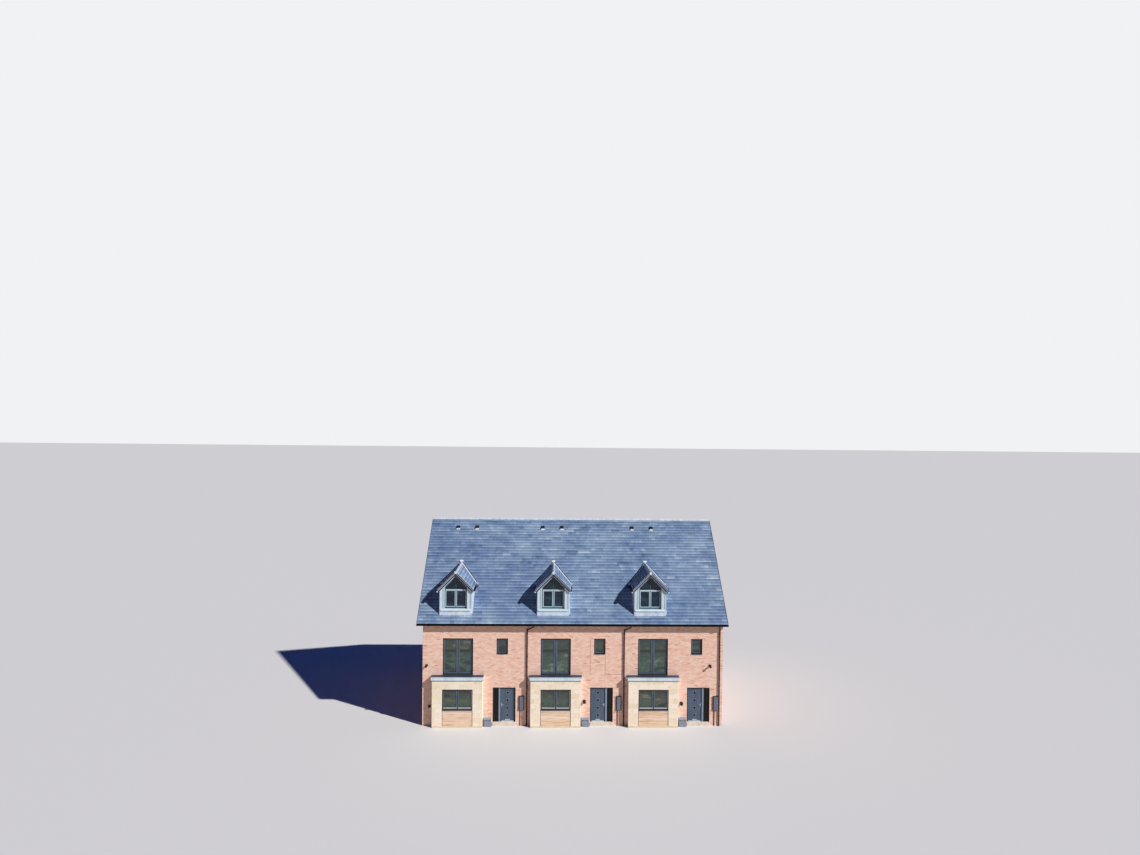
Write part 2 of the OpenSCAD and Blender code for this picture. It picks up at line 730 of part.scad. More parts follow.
// Outline of a door set's frame with clear holes for the leaf and the side light
module door_frame_outline(stop) difference() {
    rect(0, threshold_z, door_set_w, door_head_z);
    rect(jamb_w + stop, threshold_z - cut, post_x0 - stop, door_head_z - head_w - stop);
    rect(post_x0 + post_w, threshold_z + frame_w, door_set_w - end_jamb_w, door_head_z - head_w);
}

module door_frames() color("#3f4c57") for (i = [0:2]) door_set(i) {
    along_y(set_y0, set_y0 + stop_d) door_frame_outline(stop_w);
    along_y(set_y0 + stop_d, leaf_y1) door_frame_outline(0);
}

// Pale steps that fill the doorways under the door sets
module thresholds() color("#d9d2c6") for (i = [0:2]) door_set(i)
    block([0, -wall_y - 60, 0], [door_set_w, -room_y, threshold_z]);

// Squares round the four lights of a leaf
module light_squares(w) for (z = light_z)
    translate([(leaf_x0 + leaf_x1) / 2, z]) square(w, center = true);

module door_leaf(i) color("#55677a") door_set(i) along_y(leaf_y0, leaf_y1) difference() {
    rect(leaf_x0, leaf_z0, leaf_x1, leaf_z1);
    light_squares(light_w);
}

module door_glass(i) color("#39474c") door_set(i) along_y(leaf_y0 + 10, leaf_y1 - 10) light_squares(light_w);

// Steel trims round the lights, a letter plate, and lever handles on both faces
module door_furniture(i) color("#d4d6d8") door_set(i) {
    trim_t = 8;
    handle_z = 1250;
    handle_x = leaf_x1 - 60;
    letter_z = 330;
    middle = (leaf_x0 + leaf_x1) / 2;
    along_y(leaf_y0 - trim_t, leaf_y0) difference() {
        light_squares(light_w + 16);
        light_squares(light_w);
    }
    along_y(leaf_y0 - trim_t, leaf_y0) rect(middle - 135, letter_z - 33, middle + 135, letter_z + 33);
    for (face = [[leaf_y0, 0], [leaf_y1, 1]])
        translate([handle_x, face[0], handle_z]) mirror([0, 1 - face[1], 0]) {
            block([-20, 0, -110], [20, 8, 70]);
            translate([0, 7, 0]) rotate([-90, 0, 0]) cylinder(h = 40, d = 16);
            block([-125, 38, -9], [9, 50, 9]);
        }
}

module door_leaf_left() door_leaf(0);
module door_leaf_middle() door_leaf(1);
module door_leaf_right() door_leaf(2);
module door_glass_left() door_glass(0);
module door_glass_middle() door_glass(1);
module door_glass_right() door_glass(2);
module door_furniture_left() door_furniture(0);
module door_furniture_middle() door_furniture(1);
module door_furniture_right() door_furniture(2);

// Low boxes with sloping lids between each bay and door
module gas_boxes() color("#8d9aa8") each_house() along_x(480, 920) polygon([
    [-wall_y, 0], [-wall_y, 500], [-wall_y - 200, 440], [-wall_y - 225, 440],
    [-wall_y - 225, 410], [-wall_y - 200, 410], [-wall_y - 200, 0]
]);

// Meter cupboards on the wall beside each door, with a duct to the ground
module electric_boxes() color("#5d5b66") each_house() {
    box_z = 930;
    block([2570, -wall_y - 60, box_z], [2890, -wall_y, box_z + 880]);
    translate([2660, -wall_y - 28, 0]) cylinder(h = box_z, d = 40);
}

// Rear windows: left edge, width, bottom, top and number of lights
rear_window_list = [
    [wide_x0, wide_w, bay_sill_z, door_head_z, 2], [wide_x0, wide_w, rear_sill_z, upper_head_z, 2],
    [small_x0, small_w, upper_head_z - small_h, upper_head_z, 1]
];

module rear_window_frames() color("#46525b") each_house() for (w = rear_window_list) {
    mirror([0, 1, 0])
        window_frame(-rear_frame_y - frame_d, w[0], w[2] + sill_t, w[0] + w[1], w[3], w[4], sash_w);
    block([w[0], room_y, w[2]], [w[0] + w[1], wall_y + 30, w[2] + sill_t]);
}

module rear_window_glass() color("#4f625d") {
    each_house() for (w = rear_window_list) mirror([0, 1, 0])
        window_panes(-rear_frame_y - frame_d, w[0], w[2] + sill_t, w[0] + w[1], w[3], w[4], sash_w);
    at_rooflights() translate([0, 0, 40]) cube([rooflight_w, rooflight_l, glass_t], center = true);
}

// Closed rear doors in their frames
module rear_doors() color("#3f4c57") each_house() {
    x1 = rear_door_x0 + rear_door_w;
    along_y(rear_frame_y, rear_frame_y + frame_d) difference() {
        rect(rear_door_x0, ground_floor_z, x1, door_head_z);
        rect(rear_door_x0 + frame_w, ground_floor_z + frame_w, x1 - frame_w, door_head_z - frame_w);
    }
    along_y(rear_frame_y + 12, rear_frame_y + 12 + leaf_t)
        rect(rear_door_x0 + frame_w, ground_floor_z + frame_w, x1 - frame_w, door_head_z - frame_w);
}

// Frames that stand on the slates round the rooflight openings
module rooflights() color("#4a4f55") at_rooflights() {
    curb = 60;
    outer = [rooflight_w + 2 * curb, rooflight_l + 2 * curb, curb];
    difference() {
        translate([0, 0, curb / 2]) cube(outer, center = true);
        cube([rooflight_w, rooflight_l, 4 * curb], center = true);
    }
}

ground_floors();
first_floors();
second_floors();
front_wall_piers();
front_wall_upper();
rear_wall_lower();
rear_wall_upper();
gable_wall_left();
gable_wall_right();
party_walls();
roof_front();
roof_rear();
ridge_tiles();
bargeboards();
eaves_boards();
gutters();
downpipes();
roof_vents();
flue_terminals();
dormer_fronts();
dormer_cheeks();
dormer_roofs();
dormer_bargeboards();
dormer_flashings();
dormer_frames();
dormer_glass();
bay_bases();
bay_piers();
bay_heads();
bay_panels();
bay_roofs();
front_window_frames();
front_window_glass();
window_sills();
door_frames();
thresholds();
door_leaf_left();
door_leaf_middle();
door_leaf_right();
door_glass_left();
door_glass_middle();
door_glass_right();
door_furniture_left();
door_furniture_middle();
door_furniture_right();
gas_boxes();
electric_boxes();
rear_window_frames();
rear_window_glass();
rear_doors();
rooflights();
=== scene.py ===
import math
import random
from collections import defaultdict

import bmesh
import bpy
from mathutils import Matrix, Vector


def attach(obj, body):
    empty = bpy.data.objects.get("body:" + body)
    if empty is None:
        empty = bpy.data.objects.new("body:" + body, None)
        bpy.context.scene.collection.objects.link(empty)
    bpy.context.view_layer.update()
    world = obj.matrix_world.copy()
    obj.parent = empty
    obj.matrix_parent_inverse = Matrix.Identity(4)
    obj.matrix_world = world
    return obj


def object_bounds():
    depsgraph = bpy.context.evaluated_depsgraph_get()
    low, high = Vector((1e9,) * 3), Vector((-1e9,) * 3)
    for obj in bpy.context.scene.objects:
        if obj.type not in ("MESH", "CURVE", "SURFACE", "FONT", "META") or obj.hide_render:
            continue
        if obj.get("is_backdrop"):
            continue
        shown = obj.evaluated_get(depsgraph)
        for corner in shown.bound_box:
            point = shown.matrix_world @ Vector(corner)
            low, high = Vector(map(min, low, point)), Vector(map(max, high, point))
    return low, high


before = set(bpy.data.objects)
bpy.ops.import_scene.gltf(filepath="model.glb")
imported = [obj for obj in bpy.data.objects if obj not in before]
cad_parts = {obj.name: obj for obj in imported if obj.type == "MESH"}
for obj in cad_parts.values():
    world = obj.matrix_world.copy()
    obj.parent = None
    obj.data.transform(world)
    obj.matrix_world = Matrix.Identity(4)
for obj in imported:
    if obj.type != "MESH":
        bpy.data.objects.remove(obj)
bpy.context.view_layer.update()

scene = bpy.context.scene
random.seed(11)

# Sizes of the row in metres, repeated from the part's source
house_middles = (-5.9, 0.0, 5.9)
wall_left, wall_right, wall_out = -9.14, 9.04, 5.25
verge_left, verge_right = -9.48, 9.30
ridge_height, eaves_out, soffit_height = 11.84, 5.57, 6.14
dormer_middles = (-7.20, -1.30, 4.60)
dormer_ridge_height, dormer_eaves_out = 9.30, 1.065
dormer_side, dormer_roof_front = 0.97, -5.225
bay_left, bay_right, bay_face, bay_roof_low = -2.62, 0.40, -5.59, 2.82
rooflight_out, rooflight_wide, rooflight_long = 2.9, 0.45, 0.65

# Openings in the brickwork from the middle of a house: left, right, bottom, top
tall_window = (-2.03, -0.21, 3.07, 5.29)
small_window = (1.20, 1.89, 4.34, 5.29)
bay_window = (-2.01, -0.19, 1.09, 2.31)
bay_opening = (bay_left, bay_right, 0.0, 3.055)
door_opening = (0.99, 2.37, 0.0, 2.31)
rear_door = (1.15, 2.10, 0.0, 2.31)
rear_low_window = (-2.03, -0.21, 1.09, 2.31)
rear_wide_window = (-2.03, -0.21, 4.09, 5.29)

brick_long, brick_course, mortar_joint = 0.225, 0.075, 0.010
slope_slant = math.sqrt(2)  # metres up a 45 degree slope for each metre across


def linear(hex_colour):
    """Turns an sRGB hex colour into the linear colour that nodes and lamps use."""
    parts = [int(hex_colour[i:i + 2], 16) / 255 for i in (1, 3, 5)]
    return [c / 12.92 if c <= 0.04045 else ((c + 0.055) / 1.055) ** 2.4 for c in parts] + [1.0]


def wire(graph, node, inputs):
    """Gives a node its links and values; a node among them stands for the first output it uses."""
    for name, value in inputs.items():
        if isinstance(value, bpy.types.Node):
            value = next(output for output in value.outputs if output.enabled)
        if isinstance(value, bpy.types.NodeSocket):
            graph.links.new(value, node.inputs[name])
        else:
            node.inputs[name].default_value = value


def add(graph, kind, inputs=None, shades=None, **settings):
    """Adds one node with its settings, its links or values, and the stops of its colour ramp.

    Shades are pairs of place and colour, or colours alone, which are set out evenly from 0.3 to 0.7,
    over the middle of a noise, where nearly all of its values lie.
    """
    node = graph.nodes.new(kind)
    for name, value in settings.items():
        setattr(node, name, value)
    wire(graph, node, inputs or {})
    if shades:
        if isinstance(shades[0], str):
            shades = [(0.3 + 0.4 * i / (len(shades) - 1), colour) for i, colour in enumerate(shades)]
        stops = node.color_ramp.elements
        for stop, (place, colour) in zip(stops, (shades[0], shades[-1])):
            stop.position = place
            stop.color = linear(colour)
        for place, colour in shades[1:-1]:
            stops.new(place).color = linear(colour)
    return node


# Camera: an aerial view of the front, a little above the ridge
camera_place = Vector((-1.37, -47.64, 18.63))
camera_yaw, camera_pitch, camera_roll = 0.023, 0.013, 0.010
camera = bpy.data.objects.new("camera", bpy.data.cameras.new("camera"))
scene.collection.objects.link(camera)
camera.data.sensor_width = 36.0
camera.data.lens = 22.2
camera.data.clip_end = 900.0
camera.matrix_world = (
    Matrix.Translation(camera_place)
    @ Matrix.Rotation(-camera_yaw, 4, "Z")
    @ Matrix.Rotation(math.pi / 2 - camera_pitch, 4, "X")
    @ Matrix.Rotation(camera_roll, 4, "Z")
)
scene.camera = camera
scene.view_settings.view_transform = "Standard"


# Materials


def start_material(name, roughness, metallic=0.0, ior=1.5, specular=0.5):
    """Starts a material: gives it, its node graph, its shader and its Object coordinates."""
    material = bpy.data.materials.new(name)
    material.use_nodes = True
    graph = material.node_tree
    shader = graph.nodes["Principled BSDF"]
    wire(graph, shader, {"Roughness": roughness, "Metallic": metallic, "IOR": ior,
                        "Specular IOR Level": specular})
    return material, graph, shader, add(graph, "ShaderNodeTexCoord").outputs["Object"]


def blended(graph, share, colour, pattern, shades, blend_type="MIX"):
    """Blends a colour with the shades that a pattern gives."""
    return add(graph, "ShaderNodeMix", {
        0: share, 6: colour, 7: add(graph, "ShaderNodeValToRGB", {"Fac": pattern}, shades)},
        data_type="RGBA", blend_type=blend_type)


def finish(graph, shader, colour, height, depth, gloss=None):
    """Gives a shader its colour, a relief with a depth in metres, and a roughness that follows it."""
    relief = add(graph, "ShaderNodeBump", {"Height": height, "Distance": depth, "Strength": 1.0})
    wire(graph, shader, {"Base Color": colour, "Normal": relief})
    if gloss:
        wire(graph, shader, {"Roughness": add(graph, "ShaderNodeMapRange", {
            "Value": height, "From Min": 0.3, "From Max": 0.7, "To Min": gloss[0], "To Max": gloss[1]})})


def surface(name, shades, patch, grain, roughness, depth=0.0004, specular=0.5, metallic=0.0,
            stretch=(1, 1, 1)):
    """Makes a material that is mottled in patches and has a fine grain; both sizes are in metres."""
    material, graph, shader, place = start_material(name, roughness, metallic, specular=specular)
    place = add(graph, "ShaderNodeMapping", {"Vector": place, "Scale": stretch})
    patches = add(graph, "ShaderNodeTexNoise", {"Vector": place, "Scale": 1 / patch, "Detail": 4.0})
    grains = add(graph, "ShaderNodeTexNoise", {"Vector": place, "Scale": 1 / grain, "Detail": 3.0})
    finish(graph, shader, add(graph, "ShaderNodeValToRGB", {"Fac": patches}, shades), grains, depth,
           (roughness - 0.07, roughness + 0.07))
    return material


def toned(name, roughness, specular, tones, mottle, shades, relief, depth, tail_shade_and_highlight=None, ior=1.5, gloss=None):
    """Makes the material of separate blocks: a tone for each, tinted by a mottle, on a fine relief.

    The mottle and the relief are noises: how many to a metre along X, Y and Z, detail, roughness.
    Tail shade and highlight are painted shadow and highlight that run from the head of each block (0) to its
    tail (1).
    """
    material, graph, shader, place = start_material(name, roughness, ior=ior, specular=specular)
    noises = []
    for repeats, detail, rough in (mottle, relief):
        spot = add(graph, "ShaderNodeMapping", {"Vector": place, "Scale": repeats})
        noises.append(add(graph, "ShaderNodeTexNoise", {
            "Vector": spot, "Scale": 1.0, "Detail": detail, "Roughness": rough}))
    tone = add(graph, "ShaderNodeAttribute", attribute_name="tone").outputs["Fac"]
    colour = add(graph, "ShaderNodeValToRGB", {"Fac": tone}, tones)
    colour = blended(graph, 1.0, colour, noises[0], shades, "MULTIPLY")
    # painted shadow under the next tail and painted highlight on each tail
    if tail_shade_and_highlight:
        tail = add(graph, "ShaderNodeAttribute", attribute_name="tail").outputs["Fac"]
        colour = blended(graph, 1.0, colour, tail, tail_shade_and_highlight, "MULTIPLY")
    finish(graph, shader, colour, noises[1], depth, gloss)
    return material


def sloped(name, limit, up_shades, other_shades, repeats, rough, relief=None, **kind):
    """Makes a material with shades for faces that look up past a limit, and others for the rest.

    The cloudy noise has so many repeats to a metre; the relief is repeats to a metre and a depth.
    """
    material, graph, shader, place = start_material(name, **kind)
    look = add(graph, "ShaderNodeSeparateXYZ", {
        "Vector": add(graph, "ShaderNodeNewGeometry").outputs["Normal"]})
    up = add(graph, "ShaderNodeMath", {0: look.outputs["Z"], 1: limit}, operation="GREATER_THAN")
    spot = add(graph, "ShaderNodeMapping", {"Vector": place, "Scale": repeats})
    clouds = add(graph, "ShaderNodeTexNoise", {
        "Vector": spot, "Scale": 1.0, "Detail": 5.0, "Roughness": rough})
    colour = add(graph, "ShaderNodeValToRGB", {"Fac": clouds}, other_shades)
    colour = blended(graph, up, colour, clouds, up_shades)
    wire(graph, shader, {"Base Color": colour})
    if relief:
        marks = add(graph, "ShaderNodeTexNoise", {"Vector": place, "Scale": relief[0], "Detail": 3.0})
        finish(graph, shader, colour, marks, relief[1])
    return material


def coursed(name, width, height, shades, mortar, roughness, grain, depth):
    """Makes a material of blocks in courses on an upright wall, with joints a little below the face."""
    material, graph, shader, place = start_material(name, roughness, specular=0.2)
    parts = add(graph, "ShaderNodeSeparateXYZ", {"Vector": place}).outputs
    facing = add(graph, "ShaderNodeSeparateXYZ", {
        "Vector": add(graph, "ShaderNodeNewGeometry").outputs["Normal"]})
    sideways = add(graph, "ShaderNodeMath", {0: facing}, operation="ABSOLUTE")
    is_side = add(graph, "ShaderNodeMath", {0: sideways, 1: 0.5}, operation="GREATER_THAN")
    along = add(graph, "ShaderNodeMix", {0: is_side, 2: parts["X"], 3: parts["Y"]})
    blocks = add(graph, "ShaderNodeTexBrick", {
        "Vector": add(graph, "ShaderNodeCombineXYZ", {"X": along, "Y": parts["Z"]}),
        "Scale": 1.0, "Mortar Size": mortar_joint / 2, "Mortar Smooth": 0.1, "Bias": 0.0,
        "Brick Width": width, "Row Height": height,
        "Color1": (0, 0, 0, 1), "Color2": (1, 1, 1, 1), "Mortar": (0.5, 0.5, 0.5, 1)})
    grains = add(graph, "ShaderNodeTexNoise", {"Vector": place, "Scale": 1 / grain, "Detail": 4.0})
    is_joint = blocks.outputs["Fac"]
    rise = add(graph, "ShaderNodeMath", {0: is_joint, 1: -1.0, 2: grains}, operation="MULTIPLY_ADD")
    colour = add(graph, "ShaderNodeValToRGB", {"Fac": blocks}, shades)
    finish(graph, shader, blended(graph, is_joint, colour, grains, mortar), rise, depth)
    return material


# Rustic facing brick: extruded clay with a dragged face, fired in a mixed batch, so that its salmon
# body varies from brick to brick, with sandy flecks and a rough, dull skin
facing_brick = toned(
    "facing_brick_dragged", 0.88, 0.2,
    [(0.0, "#bf8a76"), (0.25, "#d6a591"), (0.55, "#ebc2b1"), (0.8, "#f0cdbe"), (1.0, "#f4dbd0")],
    ((45, 45, 45), 4.0, 0.65), [(0.3, "#dccbc2"), (0.5, "#ffffff"), (0.72, "#ffffff")],
    ((60, 60, 260), 3.0, 0.5), 0.0001)
# The same brick in its wall: the joints behind the separate bricks and the returns of the openings,
# in a pale sandy lime mortar, finished flush and dull
brickwork = coursed("brickwork_in_lime_mortar", brick_long, brick_course,
                    [(0.0, "#d09a82"), (0.5, "#dcaa92"), (1.0, "#e6bca6")],
                    ("#dcc2b0", "#e8d4c4"), 0.9, 0.004, 0.0004)
# Dense concrete blockwork, cast and dry: grey blocks and grey joints, coarse and dull
blockwork = coursed("blockwork_cast_concrete", 0.45, 0.225, [(0.0, "#a6a29a"), (1.0, "#b8b3a8")],
                    ("#96928b", "#a3a098"), 0.92, 0.006, 0.0006)
# Power-floated concrete floor: nearly even grey with cloudy patches, slightly smoother than cast work
floated_concrete = surface("concrete_floated", ("#a9a49b", "#bcb7ad"), 0.6, 0.01, 0.75, 0.0005)
# Planed spruce floorboards: pale straw grain that runs across the houses, with a soft open surface
floorboards = surface("spruce_planed", ("#b99f74", "#c8b491", "#d6c4a2"), 0.12, 0.004, 0.6, 0.0003,
                      stretch=(0.08, 1, 1))

# Natural riven slate: split, so its face is slightly rippled with a faint sheen; the batch runs from
# steel blue to blue-grey with lighter drifts where a pallet was opened; a thin dark line of painted
# shadow lies under the next tail, and each dressed tail is paler with a band of painted highlight,
# which draws the course lines. Line and pale band are drawn wider than they are, so that the
# courses still show from far away
riven_slate = toned(
    "slate_riven", 0.6, 0.04,
    [(0.0, "#7a90a5"), (0.3, "#8ea5be"), (0.65, "#a1b7cd"), (0.9, "#b4c7d8"), (1.0, "#c8d6e2")],
    ((0.55, 0.55, 0.55), 6.0, 0.7), [(0.36, "#c3cce0"), (0.5, "#e6eaf2"), (0.62, "#ffffff")],
    ((30, 30, 30), 6.0, 0.6), 0.0005,
    [(0.14, "#2a3350"), (0.2, "#c3cad8"), (0.7, "#c9d0dd"), (0.78, "#ffffff")], 1.55, (0.42, 0.62))
# The slab under the slates: more slate where it shows between them, and boards in a nearly black
# paint on the underside of the overhangs
roof_slab = sloped("slate_and_painted_underside", 0.1, ("#44536c", "#5b6b87"),
                   ("#0d0e11", "#16181c"), (6, 6, 6), 0.5,
                   roughness=0.6, ior=1.55, specular=0.04)
# Fired clay ridge tile with a blue-grey smoke finish: even, slightly dusty, paler than the slates
ridge_clay = surface("ridge_clay_smoked", [(0.3, "#b2bbc9"), (0.55, "#c4ccd8"), (0.75, "#d6dce5")], 0.25,
                     0.006, 0.7, 0.0006)
# Lime mortar pointing between the ridge tiles: sandy grey, coarse and dull
pointing = surface("mortar_pointed", ("#7f8694", "#969cab"), 0.05, 0.003, 0.9, 0.001, 0.2)
# Softwood boards in dark satin paint: almost black with a slight orange-peel skin
dark_paint = surface("softwood_satin_paint", ("#1b1d21", "#25282d"), 0.4, 0.01, 0.5, 0.0002, 0.2)
# Moulded black PVC-U gutter: smooth and faintly glossy, dulled by dust along its run
gutter_plastic = surface("pvc_moulded_black", ("#08090b", "#0f1013"), 0.3, 0.008, 0.5, 0.0001, 0.1)
# Extruded brown PVC-U pipe: smooth, chocolate brown, with a soft gloss
pipe_plastic = surface("pvc_extruded_brown", ("#2c120e", "#3b1a13"), 0.25, 0.008, 0.5, 0.0001, 0.2)
# Moulded polypropylene of the vents: black and dull with a fine texture
vent_plastic = surface("polypropylene_moulded_hood", ("#0c0d11", "#191b21"), 0.1, 0.003, 0.65, 0.0002, 0.1)
# Moulded polypropylene of the flue caps: brown-black, dull, a little weathered
flue_plastic = surface("polypropylene_moulded_black", ("#1c1512", "#2b201b"), 0.08, 0.003, 0.6)

# Pressed aluminium trim in a pale powder coat: cool white-grey, low sheen, faint orange peel
pale_coat = surface("aluminium_powder_coat_pale", ("#b9d0de", "#c8deea"), 0.5, 0.006, 0.45, 0.0002)
# The same in lilac grey on the dormers' bargeboards: duller, so that they read as a line of shade
pale_board_coat = surface("aluminium_powder_coat_lilac", ("#858fac", "#979fbb"), 0.5, 0.006, 0.5, 0.0002, 0.3)
# Milled lead sheet with patination oil: dull lavender-grey with cloudy streaks where it lies on the
# slopes and ridges, nearly white on the upright aprons and cheeks, which the rain washes clean
lead_sheet = sloped("lead_milled_patinated", 0.35, ("#8f95ac", "#a5aabf", "#bcc1d2"),
                    ("#b4cadf", "#cbdeee", "#e0edf8"), (4, 4, 4), 0.6, (40.0, 0.001),
                    roughness=0.55, metallic=0.1, specular=0.3)
# New lead of the saddles and valley edges: still bright, smooth and satin
new_lead = surface("lead_new_bright", ("#d3dce8", "#e8eef5"), 0.1, 0.006, 0.5, 0.0003, 0.3)
# Zinc sheet over the bays, folded and pre-weathered: its skirt is pale blue-grey, softly metallic with
# bloom that runs down, and its flat top has kept a dark, dull film
bay_zinc = sloped("zinc_folded_weathered", 0.7, ("#2c3447", "#3d475e"),
                  ("#c4dae8", "#d3e7f2", "#e2f1f8"), (3, 3, 0.45), 0.5,
                  roughness=0.42, metallic=0.2)


def framed(name, frame_shades, sash_shades, sash_faces):
    """Makes the coat of a window: dark frames, and sashes whose proud faces lie at the given depths."""
    material, graph, shader, place = start_material(name, 0.5, specular=0.22)
    depth = add(graph, "ShaderNodeSeparateXYZ", {"Vector": place}).outputs["Y"]
    is_sash = 0.0
    for face in sash_faces:
        near = add(graph, "ShaderNodeMath", {0: depth, 1: face, 2: 0.004}, operation="COMPARE")
        is_sash = add(graph, "ShaderNodeMath", {0: is_sash, 1: near}, operation="MAXIMUM")
    clouds = add(graph, "ShaderNodeTexNoise", {"Vector": place, "Scale": 2.5, "Detail": 4.0})
    peel = add(graph, "ShaderNodeTexNoise", {"Vector": place, "Scale": 250.0, "Detail": 3.0})
    colour = add(graph, "ShaderNodeValToRGB", {"Fac": clouds}, frame_shades)
    finish(graph, shader, blended(graph, is_sash, colour, clouds, sash_shades), peel, 0.0001)
    return material


# Aluminium window frames in powder coat, near-black with blue-grey sashes: a fine satin skin; the
# frames' near-black is partly painted shade of the reveals
frame_coat = framed("aluminium_powder_coat_two_tone", ("#241b1c", "#2c2425"),
                    ("#4f5e71", "#5d6d81"), (-5.197, -5.537, 5.197))
# The dormers' frames in the same coat, teal-grey with pale sashes that stand out from the glass
dormer_frame_coat = framed("aluminium_powder_coat_teal_grey", ("#34505f", "#40606f"),
                           ("#98b4c6", "#aac5d4"), (-5.062,))
# Aluminium of the casings, the door frames and the rooflights: graphite powder coat, satin; on the
# casings round the front windows its near-black is partly painted shade of the reveals
dark_frame_coat = surface("aluminium_powder_coat_graphite", ("#24191b", "#2d2326"), 0.4, 0.004, 0.5,
                          0.0001, 0.22)
# Bath stone, sawn and rubbed: each block keeps its own honey shade, with soft clouding and a
# fine open grain; the blocks are separate pieces with a tone each
bath_stone = toned(
    "bath_stone_sawn", 0.85, 0.3,
    [(0.0, "#d6c8aa"), (0.35, "#e9dfc9"), (0.7, "#efe7d5"), (1.0, "#f6f0e4")],
    ((5, 5, 5), 6.0, 0.65), [(0.28, "#efe8dc"), (0.5, "#ffffff"), (0.75, "#fffaf0")],
    ((350, 350, 350), 2.0, 0.5), 0.0001)
# The stone behind the blocks, seen in their joints and on the returns of the bay's window: the same
# stone, pointed, a little darker and rougher
stone_core = surface("bath_stone_pointed", ("#dacbaa", "#e6d9bd"), 0.2, 0.004, 0.88, 0.0008)
# Stained timber boards below the bay windows: a thin pinkish stain through which the long grain
# shows, each board with its own tone; the panel behind, seen in the grooves, has the darkest tone,
# which is painted shade in the grooves
infill_stain = toned(
    "timber_pink_stain", 0.6, 0.3,
    [(0.0, "#b98f6f"), (0.3, "#e4ccb1"), (0.6, "#e9d4c1"), (1.0, "#f0e0d5")],
    ((1.2, 6, 24), 5.0, 0.5), [(0.35, "#dfcdbd"), (0.5, "#ffffff"), (0.7, "#fff6ee")],
    ((1.2, 6, 24), 5.0, 0.5), 0.0006)
# Pressed aluminium sills in a slate-grey powder coat: even, smooth, satin
sill_coat = surface("aluminium_pressed_sill", ("#3c464f", "#485560"), 0.5, 0.004, 0.42, 0.0001)
# Glass-reinforced door skin, moulded with a fine wood grain and painted slate blue: upright streaks
door_skin = surface("grp_door_skin_grained", ("#43546a", "#4c5f76", "#576b83"), 0.06, 0.003, 0.5, 0.0004,
                    0.3, stretch=(1, 1, 0.06))
# Stainless steel with a fine brushed finish: bright, with short soft streaks
brushed_steel = surface("stainless_steel_brushed", ("#c4c7ca", "#dfe1e3"), 0.02, 0.0008, 0.3, 0.00005,
                        metallic=1.0, stretch=(1, 1, 12))
# Precast concrete step with a washed top: pale, sandy and dull
step_concrete = surface("concrete_precast_washed", ("#cfc7ba", "#dcd5c9", "#e6e0d6"), 0.2, 0.003, 0.85,
                        0.0008)
# Polysulphide sealant in the movement joints: brick red, smooth and dull
sealant = surface("sealant_brick_red", ("#8f5f50", "#9c6a5a"), 0.3, 0.003, 0.7, 0.0003, 0.2)
# Rubber gaskets round the glass: soft black with no shine
rubber = surface("rubber_extruded", ("#0c0d0e", "#151617"), 0.1, 0.003, 0.8, 0.0001, 0.2)
# Mill-bright aluminium of weather bars, stop ends and edge trims: nearly white, satin; on the bays'
# weather bars and the dormer gutters' stop ends the near-white is painted glint
bright_coat = surface("aluminium_satin_white", ("#dfe5ea", "#eef2f5"), 0.2, 0.003, 0.4, 0.0001)
# Moulded glass-reinforced plastic of the gas boxes, blue-grey: satin, slightly uneven
gas_box_shell = surface("grp_box_blue_grey", ("#7c8799", "#8c97aa"), 0.15, 0.003, 0.5, 0.0002)
# The same plastic for the meter cupboards: a dark brown shell and a slate-grey door
meter_box_shell = surface("grp_box_dark_brown", ("#2b2226", "#352a2f"), 0.15, 0.003, 0.5, 0.0002, 0.2)
meter_door_skin = surface("grp_door_slate_grey", ("#626a80", "#70788e"), 0.15, 0.003, 0.5, 0.0002, 0.2)
# Aluminium posts of the door sets in a blue-grey powder coat: satin, a little dusty
post_coat = surface("aluminium_powder_coat_blue_grey", ("#7d8ba3", "#8e9cb3"), 0.4, 0.004, 0.5, 0.0001, 0.2)


def float_glass(name, shades, patch, coat=1.0, specular=0.5, reflection_bands=None):
    """Makes double glazing: clear panes, a second reflection as a coat, and a mottled body of painted
    reflection.

    Patches are wider than high; reflection bands give painted reflection that changes with the height in the
    row.
    """
    material, graph, shader, place = start_material(name, 0.02, ior=1.52, specular=specular)
    wide = add(graph, "ShaderNodeMapping", {"Vector": place, "Scale": (0.6, 1.0, 1.5)})
    tint = add(graph, "ShaderNodeTexNoise", {
        "Vector": wide, "Scale": 1 / patch, "Detail": 3.0, "Roughness": 0.6})
    body = add(graph, "ShaderNodeValToRGB", {"Fac": tint}, shades)
    if reflection_bands:
        height = add(graph, "ShaderNodeSeparateXYZ", {"Vector": place}).outputs["Z"]
        level = add(graph, "ShaderNodeMath", {0: height, 1: soffit_height}, operation="DIVIDE")
        body = blended(graph, 1.0, body, level, reflection_bands, "MULTIPLY")
    wave = add(graph, "ShaderNodeTexNoise", {"Vector": place, "Scale": 2.5, "Detail": 1.0})
    wire(graph, shader, {"Transmission Weight": 0.45, "Coat Weight": coat})
    finish(graph, shader, body, wave, 0.002)
    return material


